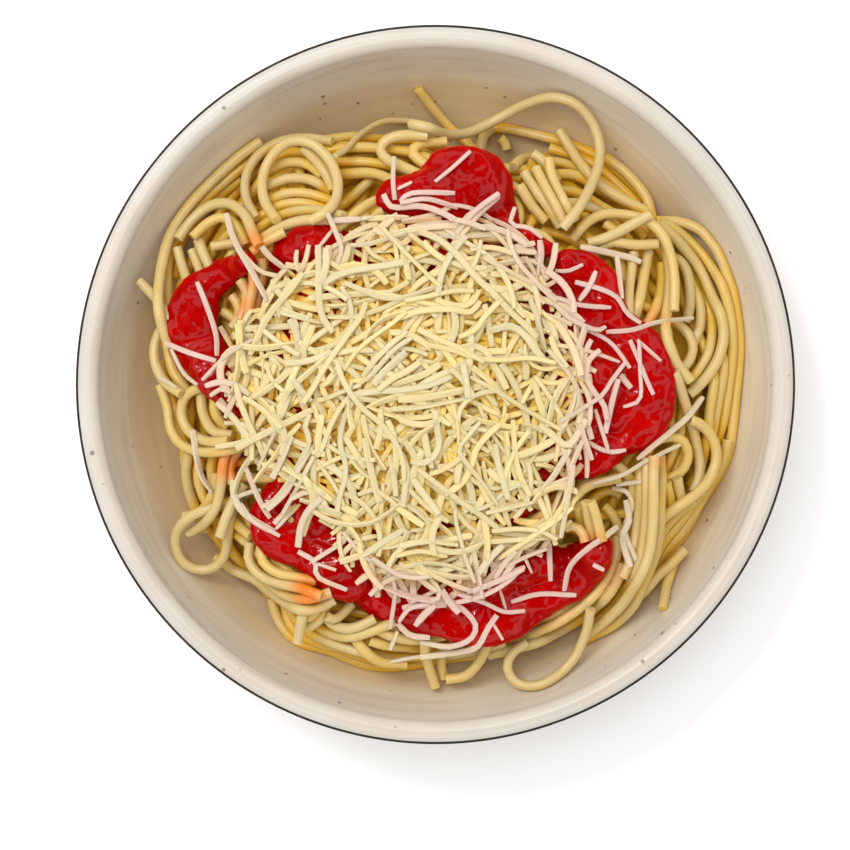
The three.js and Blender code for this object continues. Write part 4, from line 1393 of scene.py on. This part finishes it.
@dataclass
class Ketchup:
    """The ketchup: thick strokes that run together into an uneven ring on the heap."""

    photo_height: float = 47
    thickness: float = 2.3
    swelling: float = 0.16
    sink: float = 1.2
    growth: float = 0.5
    ring_reach: float = 35
    ring_radius: float = 7
    ring_depth: float = 1.0
    ring_spacing: float = 5
    short_wave: Place = (1.5, 5)
    long_wave: Place = (1.2, 3)
    grain: float = 0.62
    swell_size: float = 5.0
    swell_height: float = 2.0
    dollop_spacing: int = 5
    probe_radius: float = 2.5
    probe_spread: float = 0.6
    rise: float = 0.35
    levelling: int = 16
    skin: float = 0.8
    sauce: TomatoKetchup = field(default_factory=TomatoKetchup)

    def dollops(self) -> Iterator[tuple[float, float, float, float]]:
        """Yields the middle and the radius of each dollop, and how far it is sunk, in millimetres."""
        scale = VIEW.mm_per_pixel * VIEW.nearness(self.photo_height)
        for stroke in KETCHUP_STROKES:
            for x_pixel, y_pixel, radius in through(*stroke)[:: self.dollop_spacing]:
                x, y = VIEW.place(x_pixel, y_pixel, self.photo_height)
                yield x, y, radius * scale + self.growth, 0.0
        (short, shorts), (long, longs) = self.short_wave, self.long_wave
        for bearing in np.radians(np.arange(0, 360, self.ring_spacing)):
            reach = self.ring_reach + short * math.sin(shorts * bearing) + long * math.sin(longs * bearing + 1)
            yield reach * math.cos(bearing), reach * math.sin(bearing), self.ring_radius, self.ring_depth

    def build(self, ground: HeightMap) -> np.ndarray:
        """Makes and dresses the ketchup.

        Args:
            ground: what lies on the plate so far, to which the ketchup is added.

        Returns:
            Its depth over the grid.
        """
        bpy.ops.object.select_all(action="DESELECT")
        bpy.ops.mesh.primitive_ico_sphere_add(subdivisions=3, radius=1)
        ball = bpy.context.object
        corners = np.array([corner.co for corner in ball.data.vertices])
        triangles = np.array([tuple(face.vertices) for face in ball.data.polygons])
        bpy.data.objects.remove(ball)

        vertices, faces = [], []
        for count, (x, y, radius, depth) in enumerate(self.dollops()):
            height = min(radius, self.thickness + self.swelling * radius)
            spread = self.probe_spread * radius
            around = np.array([[x, y], [x + spread, y], [x - spread, y], [x, y + spread], [x, y - spread]])
            base = ground.resting(around, self.probe_radius).mean() - self.probe_radius - self.sink - depth
            vertices.append((corners * (radius, radius, height) + (x, y, base + self.rise * height)) * MM)
            faces.append(triangles + count * len(corners))
        mesh = bpy.data.meshes.new("ketchup_sauce")
        mesh.from_pydata(np.vstack(vertices).tolist(), [], np.vstack(faces).tolist())
        piece = placed("ketchup_sauce", mesh)
        select_only(piece)
        merging = piece.modifiers.new("merge", "REMESH")
        merging.mode = "VOXEL"
        merging.voxel_size = self.grain * MM
        bpy.ops.object.modifier_apply(modifier="merge")
        levelling = piece.modifiers.new("level", "SMOOTH")
        levelling.iterations = self.levelling
        bpy.ops.object.modifier_apply(modifier="level")
        ruffle(piece, self.swell_size, self.swell_height)
        finish_piece(piece, self.sauce.material(), Shading.ROUND, "ketchup")

        before = ground.heights.copy()
        surface = np.array([corner.co for corner in piece.data.vertices]) / MM
        ground.lay(surface - (0, 0, self.skin), self.skin)
        return ground.heights - before


# Grated cheese


@dataclass(frozen=True)
class GratedCheese:
    """Mild hard cheese, coarsely grated: matt, slightly translucent, pinker where it lies on ketchup, and
    golden to deep golden where a point lies low among the shreds, which is painted shade.
    """

    # Pale is the plain cheese; golden and deep golden are painted shade for points that lie low in the pile,
    # and a small random tone.
    pale: str = "cdc19a"
    golden: str = "f8d87a"
    deep: str = "ffcc48"
    blushed: str = "d6b2aa"
    tone_share: float = 0.3
    gap_shade_share: float = 0.85
    middle: float = 0.3
    blush_share: float = 0.85
    crumb_size: float = 0.9
    scatter: float = 0.8

    def material(self) -> Material:
        """Builds the cheese's nodes."""
        material = new_material("grated_cheese")
        tree = material.node_tree
        toned = maths(tree, "MULTIPLY", marked(tree, "tone"), self.tone_share)
        # Painted shade: the deeper a point lies among the shreds, and the lower its shred was laid, the more
        # golden its colour.
        share = maths(tree, "MULTIPLY_ADD", marked(tree, "depth"), self.gap_shade_share, toned)
        yellow = three_tones(tree, share, self.middle, (self.pale, self.golden, self.deep))
        blushing = maths(tree, "MULTIPLY", marked(tree, "blush"), self.blush_share)
        inputs = {
            "Base Color": blended(tree, blushing, yellow, linear(self.blushed)),
            "Roughness": 0.5,
            "IOR": 1.45,
            "Subsurface Weight": 0.35,
            "Subsurface Radius": (1.0, 0.95, 0.85),
            "Subsurface Scale": self.scatter * MM,
            "Normal": bumped(tree, clouds(tree, object_place(tree), self.crumb_size, 3), 0.5, 0.15),
        }
        return give_surface(material, inputs)


CHEESE_OUTLINE = [
    (0, 51), (15, 53), (30, 54), (45, 55), (60, 56), (75, 55), (90, 53), (105, 51), (120, 47), (135, 50),
    (150, 50),
    (165, 52), (180, 53), (192, 50), (203, 45), (214, 40), (226, 38), (240, 43), (255, 54), (270, 58),
    (285, 58), (300, 58), (315, 57),
    (330, 56), (345, 53),
]

# Shreds that show on top of the pile, from the lowest to the uppermost: the pixels that each one passes.
PILE_SHREDS = (
    # Left
    ((240, 346), (258, 348), (280, 346), (300, 343)),
    ((205, 386), (220, 382), (236, 385), (250, 395)),
    ((215, 447), (235, 444), (255, 438)),
    ((210, 396), (221, 389), (231, 393)),
    ((237, 394), (231, 405), (225, 418)),
    ((255, 328), (261, 348), (264, 368), (262, 385)),
    ((290, 319), (297, 335), (298, 351), (291, 365), (281, 379)),
    ((300, 424), (286, 440), (275, 456), (263, 470), (254, 482)),
    ((312, 410), (290, 421), (268, 432), (250, 441), (236, 449)),
    ((236, 384), (240, 402), (249, 424), (258, 441), (265, 462)),
    ((293, 380), (302, 392), (311, 401)),
    ((295, 366), (276, 383), (254, 398)),
    ((300, 341), (305, 352), (302, 364)),
    ((331, 351), (318, 358), (301, 362), (285, 363)),
    # Upper left
    ((240, 250), (250, 262), (262, 272), (278, 276)),
    ((262, 247), (270, 257), (283, 267), (294, 276)),
    ((274, 311), (287, 314), (302, 318), (322, 323)),
    ((341, 287), (349, 300), (352, 318), (350, 336)),
    ((309, 245), (306, 259), (300, 273)),
    ((297, 250), (296, 263), (301, 275)),
    ((345, 283), (362, 290), (380, 297), (402, 298), (424, 291), (440, 285)),
    ((322, 285), (334, 277), (350, 271), (368, 268), (388, 265), (404, 262)),
    ((350, 245), (368, 244), (388, 238), (407, 232)),
    ((373, 229), (387, 235), (402, 246)),
    ((362, 240), (372, 254), (388, 262)),
    ((303, 273), (291, 289), (278, 304), (266, 320), (258, 337), (250, 355)),
    ((326, 248), (326, 266), (321, 284)),
    # Upper right
    ((540, 240), (541, 258), (538, 276)),
    ((556, 243), (553, 262), (546, 279)),
    ((525, 257), (532, 268), (537, 281)),
    ((481, 240), (478, 256), (470, 270), (459, 281)),
    ((466, 236), (455, 249), (445, 266), (440, 281), (438, 296)),
    ((405, 301), (430, 296), (454, 291), (474, 291)),
    ((396, 319), (420, 311), (449, 309), (470, 312), (480, 301)),
    ((440, 301), (455, 306), (470, 303), (479, 290)),
    ((502, 299), (486, 315), (475, 330), (459, 337)),
    ((490, 331), (510, 326), (525, 335), (535, 349), (545, 361)),
    ((530, 299), (536, 315), (541, 335), (546, 352)),
    ((484, 258), (503, 268), (526, 280), (551, 292)),
    ((507, 229), (511, 247), (519, 263), (531, 277), (545, 291), (556, 301)),
    ((419, 231), (440, 240), (458, 256), (476, 277), (492, 292), (507, 308), (522, 322), (537, 337)),
    ((380, 225), (392, 238), (405, 252), (420, 267), (433, 280), (442, 288)),
    # Middle
    ((352, 395), (378, 391), (404, 390), (430, 385), (452, 376)),
    ((398, 400), (422, 398), (446, 394), (468, 389)),
    ((392, 409), (420, 407), (448, 402), (472, 397)),
    ((406, 352), (395, 362), (383, 373), (374, 385)),
    ((420, 362), (407, 371), (392, 379), (378, 390)),
    ((440, 364), (425, 374), (408, 380), (392, 386)),
    ((428, 345), (452, 350), (476, 358), (502, 360), (530, 358), (556, 363)),
    ((418, 329), (440, 340), (462, 349), (484, 362)),
    ((412, 338), (400, 345), (388, 356), (376, 370), (366, 380)),
    ((407, 331), (390, 345), (375, 360), (363, 377)),
    ((406, 312), (390, 325), (372, 338), (356, 352), (344, 370)),
    ((366, 302), (361, 316), (351, 330), (341, 344), (331, 358), (321, 374), (312, 390), (303, 403)),
    ((458, 423), (460, 410), (469, 399), (485, 392), (500, 391)),
    ((450, 369), (459, 376), (467, 386), (474, 397)),
    ((435, 411), (437, 428), (439, 444), (434, 456), (423, 463), (411, 461)),
    ((410, 446), (420, 434), (434, 425)),
    ((500, 424), (486, 437), (476, 450), (472, 466)),
    # Lower left
    ((233, 480), (234, 496), (241, 510), (256, 522), (275, 532)),
    ((258, 450), (246, 464), (238, 478), (234, 494)),
    ((310, 414), (305, 426), (309, 441), (302, 458), (293, 475), (283, 490), (272, 502), (261, 507)),
    ((346, 447), (353, 460), (363, 472), (375, 480)),
    ((365, 438), (368, 456), (372, 474), (376, 490), (380, 502)),
    ((380, 409), (381, 429), (376, 449)),
    ((320, 465), (330, 479), (338, 492), (344, 506)),
    ((304, 477), (312, 490), (313, 505), (307, 520), (302, 536)),
    ((300, 504), (288, 516), (276, 529)),
    ((358, 495), (372, 490), (386, 497), (397, 506)),
    ((322, 415), (319, 433), (318, 452)),
    ((349, 396), (337, 413), (329, 430), (323, 446), (317, 457)),
    ((352, 402), (343, 422), (340, 444), (345, 461), (345, 479), (340, 495), (337, 512)),
    ((312, 510), (329, 520), (350, 525), (371, 523), (388, 513), (401, 503)),
    ((390, 455), (394, 475), (396, 496)),
    # Lower right
    ((513, 420), (514, 440), (516, 460), (521, 478), (530, 496)),
    ((554, 440), (535, 450), (517, 456)),
    ((535, 381), (538, 397), (543, 412), (549, 427)),
    ((566, 380), (556, 396), (551, 412), (548, 427)),
    ((548, 350), (562, 365), (574, 382), (579, 400), (572, 417)),
    ((401, 453), (407, 470), (405, 489), (403, 507)),
    ((413, 479), (422, 492), (432, 505), (439, 514)),
    ((418, 469), (432, 480), (448, 492), (464, 504), (482, 516), (500, 530)),
    ((495, 444), (498, 464), (503, 481), (508, 499)),
    ((480, 422), (466, 439), (459, 450), (468, 465), (480, 480), (490, 494), (497, 505)),
    ((570, 449), (561, 464), (553, 477), (541, 491)),
    ((566, 478), (567, 492), (563, 506)),
    ((520, 484), (505, 492), (490, 505), (470, 512)),
    ((470, 377), (488, 386), (505, 396), (522, 407), (540, 418), (561, 430)),
    # Bottom
    ((400, 546), (428, 541), (458, 545)),
    ((396, 556), (420, 551), (447, 556)),
    ((405, 529), (386, 540), (362, 556)),
    ((404, 567), (425, 563), (450, 566), (470, 573)),
    ((479, 573), (490, 558), (503, 545)),
    ((495, 579), (504, 564), (516, 551)),
    ((413, 580), (414, 602)),
    ((430, 579), (438, 588), (440, 597), (431, 601)),
    ((415, 626), (425, 614), (436, 604)),
    ((455, 504), (456, 522), (461, 541), (466, 560), (475, 583)),
    ((492, 531), (515, 529), (540, 531), (557, 540)),
    ((525, 567), (506, 575), (488, 586), (467, 592)),
    ((442, 590), (450, 603), (459, 613)),
    # Right
    ((555, 345), (576, 348), (598, 354), (620, 362)),
    ((618, 379), (613, 397), (609, 415), (605, 433)),
    ((540, 424), (554, 436), (567, 446), (577, 435), (586, 419)),
    ((595, 409), (600, 425), (605, 440), (609, 453)),
    ((585, 439), (596, 447), (611, 452), (626, 450)),
    ((580, 424), (585, 441), (592, 460)),
    ((600, 350), (589, 360), (586, 377), (594, 392), (604, 405), (607, 420)),
    ((625, 363), (612, 380), (602, 395), (583, 408), (560, 422)),
    ((620, 375), (631, 388)),
    # The broad shreds that lie uppermost
    ((318, 245), (319, 270), (319, 298), (323, 318), (333, 332)),
    ((463, 364), (466, 380), (468, 398)),
    ((499, 196), (480, 213), (466, 230), (452, 245)),
    ((337, 362), (342, 378), (351, 394), (364, 410), (381, 424), (396, 444), (403, 463), (404, 481)),
)

# Stray shreds over the ketchup and the edge of the heap: the pixels that each one passes.
STRAY_SHREDS = (
    # Right
    ((580, 247), (606, 252), (632, 258), (641, 262)),
    ((617, 256), (620, 282), (622, 299)),
    ((575, 282), (597.5, 288), (616.5, 297), (627, 313), (641, 323)),
    ((606, 332), (632, 330), (658, 322), (694, 318)),
    ((560, 318), (580, 326.5), (610, 342), (630, 368)),
    ((554.5, 304), (572, 320), (596, 330), (606, 326.5)),
    ((630, 340), (639, 361), (647.5, 382), (653.5, 394.5)),
    ((637, 340), (661, 361)),
    ((704, 397), (685, 419.5), (658, 442), (637, 459)),
    ((681, 445), (649, 459), (623, 475), (592, 484)),
    ((555, 270.5), (568, 271), (583, 264.5)),
    ((596, 271), (589, 287), (579, 301)),
    ((554.5, 297), (580, 305), (611, 307.5)),
    ((641, 481.5), (616.5, 485)),
    ((639, 340), (640, 370), (640, 399), (623, 407)),
    ((612, 488), (627, 492), (632, 507), (625, 530), (636, 560)),
    # Top
    ((470.5, 151), (452, 168), (435, 182)),
    ((394, 156.5), (393, 180), (395, 200)),
    ((400, 201), (413, 193), (455, 193)),
    ((400, 203), (427, 199), (458, 208)),
    ((383.5, 194), (392, 207), (419, 206), (438, 211), (455, 220)),
    ((397.5, 189), (412, 182)),
    ((499, 193), (475, 211), (452, 239)),
    ((340, 222), (374, 217)),
    ((515, 207), (511, 224), (529, 228), (542, 238)),
    # Left
    ((226, 213), (233, 237), (250, 268), (268, 301)),
    ((197, 282), (206, 304), (216, 334.5), (217, 356)),
    ((165, 343), (190, 353), (216, 361)),
    ((171, 349), (183.5, 373), (198, 385)),
    ((202, 380), (225, 357), (252, 340)),
    ((159, 377), (177, 388)),
    ((220, 326.5), (232, 347)),
    ((327, 213), (333.5, 227), (341.5, 250), (335, 268)),
    ((329.5, 221), (360, 219)),
    ((332, 230), (317, 250)),
    ((193, 430), (196, 450), (201, 475), (212, 492)),
    # Lower left
    ((240, 504), (252, 520), (267, 528.5), (280, 536)),
    ((246, 468), (257, 495), (270, 518)),
    ((236, 498), (247, 493), (261, 490)),
    ((297, 506), (284, 513), (274, 524)),
    ((312, 446), (298, 470), (286, 492), (267, 510)),
    ((258, 470), (268, 447), (278, 428)),
    ((272, 478), (284, 455), (292, 436)),
    ((283, 513), (300, 483), (314, 456)),
    ((298, 547), (301, 526), (309, 510), (322, 497)),
    ((290, 500), (306, 492), (325, 494)),
    ((313, 561), (345, 541)),
    ((298, 551.5), (315, 562), (318, 577), (347, 590)),
    ((343, 532), (361, 553), (385, 570), (395, 589), (390, 629)),
    ((318, 564), (336, 570)),
    ((372, 558), (397.5, 574.5), (416, 578), (430, 576)),
    ((390, 662), (410, 658), (430, 654.5), (452, 650)),
    ((399, 622), (410, 608), (430, 604)),
    ((397.5, 623), (410, 635), (430, 637.5)),
    ((390, 650), (397.5, 631.5)),
    # Bottom
    ((618, 527), (588, 548), (570, 567), (564.5, 591)),
    ((511, 602), (539, 594), (576, 595)),
    ((549, 542), (550.5, 581)),
    ((499, 587), (506, 609)),
    ((458, 594), (483, 602), (504, 612), (525, 611)),
    ((452, 601), (466, 612), (476, 626), (469, 640), (448, 647), (420, 642)),
    ((420, 657), (448, 654), (476, 647), (487, 629), (497, 615)),
    ((626, 500), (629, 521), (622, 538), (630.5, 567)),
    ((493, 623.5), (503, 640)),
    ((524, 556), (532, 573)),
    ((524, 569), (498, 581), (473, 591)),
    ((593, 564.5), (604, 570)),
)


@dataclass
class CheesePile:
    """The loose pile of grated cheese: shreds laid every way over the heap, and stray shreds round it."""

    centre: Place = (-8, -4)
    top_height: float = 58
    edge_height: float = 40
    levelling_width: float = 5
    cover_edge: float = 8
    flatness: float = 2.2
    steepness: float = 0.75
    cover: float = 1.7
    core_radius: float = 33
    core_floor: float = 38
    core_depth: float = 1.7
    core_bumps: Place = (2.4, 1.4)
    core_rings: int = 36
    core_steps: int = 144
    # The middle of the pile shows only in the gaps, so its marks give it a golden colour: painted shade.
    core_depth_mark: float = 0.75
    core_tone: float = 0.4
    least_ketchup: float = 0.2
    blush_width: float = 7
    blush_range: Place = (38, 54)
    shreds: int = 1500
    tries: int = 5
    widths: Place = (1.15, 2.0)
    depths: Place = (0.65, 0.95)
    lengths: Place = (8, 31)
    length_spread: Place = (2.4, 4.2)
    bend_per_mm: float = 3.2
    least_room: float = 0.1
    # Shreds laid low, with much room over them, near the middle of the pile take a golden tone: painted shade.
    deep_room: Place = (1.0, 4.5)
    deep_reach: Place = (24, 36)
    pile_tones: Place = (0.1, 0.5)
    shown_tones: Place = (0, 0.4)
    curled_share: float = 0.3
    curl_rises: Place = (0.4, 2.2)
    end_widths: Place = (0.65, 1.0)
    end_length: float = 4
    turns: Place = (-0.5, 0.5)
    added_turns: Place = (-0.9, 0.9)
    least_girth: float = 0.55
    most_girth: float = 0.95
    girth_length: float = 40
    stray_blushes: Place = (0.15, 0.6)
    stiffness: float = 4.0
    ring_step: float = 1.9
    neighbourhood: float = 6.0
    crest: float = 0.8
    gap: float = 1.8
    seed: int = 23
    cheese: GratedCheese = field(default_factory=GratedCheese)

    def share_of_way(self, plan: np.ndarray) -> np.ndarray:
        """How far each point lies on the way from the middle of the pile to its outline."""
        away = plan - self.centre
        return np.hypot(away[:, 0], away[:, 1]) / round_the_plate(CHEESE_OUTLINE, bearings(away))

    def dome(self, share: np.ndarray) -> np.ndarray:
        """Height of the pile's surface at a share of the way from its middle to its outline."""
        fall = (1 - np.clip(share, 0, 1) ** self.flatness) ** self.steepness
        return self.edge_height + (self.top_height - self.edge_height) * fall

    def core_height(self, reach: np.ndarray) -> np.ndarray:
        """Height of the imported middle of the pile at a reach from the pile's centre."""
        return self.dome(reach / CHEESE_OUTLINE[0][1]) - self.core_depth

    def core(self) -> Piece:
        """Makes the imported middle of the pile, just under the shreds that show."""
        reach = np.linspace(self.core_radius, 0, self.core_rings)
        top = list(zip(reach, self.core_height(reach)))
        underside = [(0, self.core_floor), (self.core_radius, self.core_floor)]
        piece = spun("cheese_core", [*underside, *top], self.core_steps)
        piece.data.transform(Matrix.Translation((self.centre[0] * MM, self.centre[1] * MM, 0)))
        ruffle(piece, *self.core_bumps)
        # Painted shade: a golden colour for the middle, which shows only down in the gaps.
        mark_evenly(piece, depth=self.core_depth_mark, tone=self.core_tone)
        return piece

    def surface(self, ground: HeightMap) -> np.ndarray:
        """Height of the pile over the grid: a low dome, and at least a thin cover within its outline."""
        share = ground.over(self.share_of_way)
        inside = np.clip(share, 0, 1)
        dome = self.dome(share)
        thin = ground.blurred(ground.heights, self.levelling_width) + self.cover * (1 - inside**self.cover_edge)
        return np.where(share < 1, np.maximum(dome, thin), 0)

    def add_shred(
        self,
        ground: HeightMap,
        mesh: StrandMesh,
        route: np.ndarray,
        draw: np.random.Generator,
        ketchup: np.ndarray,
        tone: float,
        curled: bool,
        girth: float = 1.0,
        least_blush: float = 0.0,
    ) -> None:
        """Drapes one shred over the pile and adds it to the mesh.

        Args:
            ground: what lies on the plate so far.
            mesh: the shreds' mesh.
            route: the shred's route.
            draw: the source of its random size.
            ketchup: how near the ketchup is, from 0 to 1 over the grid.
            tone: how golden it looks, from 0 to 1.
            curled: whether one of its ends may stand up.
            girth: how thick it is beside the others.
            least_blush: how pink it looks away from the ketchup.
        """
        width, depth = girth * draw.uniform(*self.widths), girth * draw.uniform(*self.depths)
        share = np.linspace(0, 1, len(route))
        rise = draw.uniform(*self.curl_rises) if curled and draw.random() < self.curled_share else 0
        lift = rise * (share if draw.random() < 0.5 else 1 - share) ** 2
        radius = (width + 2 * depth) / 7
        line = draped_as_seen(ground, route, radius, self.stiffness, lift)
        ground.lay(line, radius)
        rings = sampled(line, self.ring_step)
        to_end = np.minimum(np.arange(len(rings)), np.arange(len(rings))[::-1]) * self.ring_step
        taper = np.minimum(1, draw.uniform(*self.end_widths) + to_end / self.end_length)
        twist = draw.uniform(*self.turns) + draw.uniform(*self.added_turns) * np.linspace(0, 1, len(rings))
        blush = np.maximum(least_blush, smoothed(ground.at(rings, ketchup), 2))
        section = flat_topped_section()
        mesh.sweep(rings, width * taper, depth * taper, twist, section, tone=np.array(tone), blush=blush)

    def random_route(self, draw: np.random.Generator) -> np.ndarray:
        """Draws the route of one shred somewhere on the pile."""
        bearing, share = draw.uniform(0, 360), math.sqrt(draw.random())
        out = share * float(round_the_plate(CHEESE_OUTLINE, np.array([bearing]))[0])
        middle = np.array(self.centre) + at_bearing(bearing, out)
        length = min(self.lengths[1], self.lengths[0] + draw.gamma(*self.length_spread))
        heading = draw.uniform(0, 360)
        bend = draw.normal(0, self.bend_per_mm) * length
        start = middle - at_bearing(heading, length / 2)
        return loose_end(tuple(start), heading - bend / 2, length, bend)

    def build(self, ground: HeightMap, ketchup: np.ndarray) -> None:
        """Makes and dresses the pile.

        Args:
            ground: what lies on the plate so far, to which the pile is added.
            ketchup: the depth of the ketchup over the grid.
        """
        draw = np.random.default_rng(self.seed)
        mesh = StrandMesh("cheese_shreds", ("tone", "blush"))
        target = self.surface(ground)
        away = np.hypot(ground.x - self.centre[0], ground.y - self.centre[1])
        sauced = (ketchup > self.least_ketchup).astype(float)
        near = smooth_step(*self.blush_range, away) * ground.blurred(sauced, self.blush_width)
        cheese = self.cheese.material()
        finish_piece(self.core(), cheese, Shading.ROUND, "grated_cheese")
        packed = np.where(away < self.core_radius, self.core_height(away), 0)
        ground.heights = np.maximum(ground.heights, packed)
        laid = 0
        for _ in range(self.shreds):
            routes = [self.random_route(draw) for _ in range(self.tries)]
            room = [(ground.at(route, target) - ground.at(route)).mean() for route in routes]
            best = int(np.argmax(room))
            if room[best] > self.least_room:
                outwards = np.linalg.norm(routes[best].mean(axis=0)[:2] - self.centre)
                # Painted shade: a shred laid low near the middle takes a golden tone.
                depth = smooth_step(*self.deep_room, np.array(room[best]))
                depth = depth * (1 - smooth_step(*self.deep_reach, outwards))
                tone = float(np.clip(draw.uniform(*self.pile_tones) + depth, 0, 1))
                self.add_shred(ground, mesh, routes[best], draw, near, tone, curled=True)
                laid += 1
        log.info("shreds laid on the pile: %d", laid)
        for pixels in PILE_SHREDS:
            tone = draw.uniform(*self.shown_tones)
            self.add_shred(ground, mesh, VIEW.route(pixels), draw, near, tone, curled=False)
        for pixels in STRAY_SHREDS:
            route = VIEW.route(pixels)
            girth = min(self.least_girth + len(route) / self.girth_length, self.most_girth)
            pink = draw.uniform(*self.stray_blushes)
            self.add_shred(ground, mesh, route, draw, near, 0.0, curled=False, girth=girth, least_blush=pink)
        # The depth mark paints shade in the gaps between shreds.
        mesh.mark_depth(ground, self.neighbourhood, self.crest, self.gap)
        finish_piece(mesh.build(), cheese, Shading.CREASED, "grated_cheese")


# Studio


@dataclass
class Studio:
    """The plain pale floor and the soft light from the upper left."""

    floor_colour: str = "f7f7f7"
    floor_width: float = 6.0
    sky_strength: float = 0.86
    soft_width: float = 0.8
    soft_power: float = 1.7
    key_width: float = 0.22
    key_power: float = 2.4
    soft_place: tuple[float, float, float] = (-0.2, 0.35, 1.15)
    key_place: tuple[float, float, float] = (-0.55, 0.45, 0.95)
    top_width: float = 0.5
    top_power: float = 3.0
    top_place: tuple[float, float, float] = (-0.12, 0.16, 1.25)
    glint_width: float = 0.09
    glint_power: float = 1.4
    glint_place: tuple[float, float, float] = (-0.3, 0.42, 1.05)

    def add_light(self, name: str, width: float, power: float, place: tuple[float, float, float]) -> None:
        """Adds a round light that faces the plate.

        Args:
            name: the light's name.
            width: its diameter in metres.
            power: its power in watts.
            place: where it hangs, in metres.
        """
        data = bpy.data.lights.new(name, "AREA")
        data.shape = "DISK"
        data.size = width
        data.energy = power
        light = placed(name, data)
        light.location = place
        light.rotation_euler = (-Vector(place)).to_track_quat("-Z", "Y").to_euler()

    def build(self) -> None:
        """Lays the floor, lights it, and adds the camera."""
        bpy.ops.object.select_all(action="DESELECT")
        bpy.ops.mesh.primitive_plane_add(size=self.floor_width, location=(0, 0, 0))
        floor = bpy.context.object
        floor.name = "floor"
        inputs = {"Base Color": linear(self.floor_colour), "Roughness": 0.9, "Specular IOR Level": 0.1}
        floor.data.materials.append(give_surface(new_material("matt_paper"), inputs))
        floor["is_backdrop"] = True

        world = bpy.data.worlds.new("sky")
        world.use_nodes = True
        background = world.node_tree.nodes["Background"]
        background.inputs["Color"].default_value = (1, 1, 1, 1)
        background.inputs["Strength"].default_value = self.sky_strength
        bpy.context.scene.world = world

        self.add_light("soft_light", self.soft_width, self.soft_power, self.soft_place)
        self.add_light("key_light", self.key_width, self.key_power, self.key_place)
        self.add_light("top_light", self.top_width, self.top_power, self.top_place)
        self.add_light("glint_light", self.glint_width, self.glint_power, self.glint_place)
        bpy.context.scene.view_settings.view_transform = "Standard"
        VIEW.add_camera()


def write_sizes() -> None:
    """Works out the box of the CAD model and the box of the finished one."""
    boxes = {
        name: [[float(value) for value in corner] for corner in box]
        for name, box in (("cad", CAD_BOX), ("visual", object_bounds()))
    }


def main() -> None:
    """Builds the plate, its food and the studio, in the order in which they rest on each other."""
    logging.basicConfig(level=logging.INFO, format="%(message)s")
    Studio().build()
    plate = Plate()
    plate.build()
    ground = HeightMap(half_width=94, cell=0.4, ground=plate.inner_height)
    Spaghetti(plate).build(ground)
    depth_of_ketchup = Ketchup().build(ground)
    CheesePile().build(ground, depth_of_ketchup)
    write_sizes()


if __name__ == "__main__":
    main()
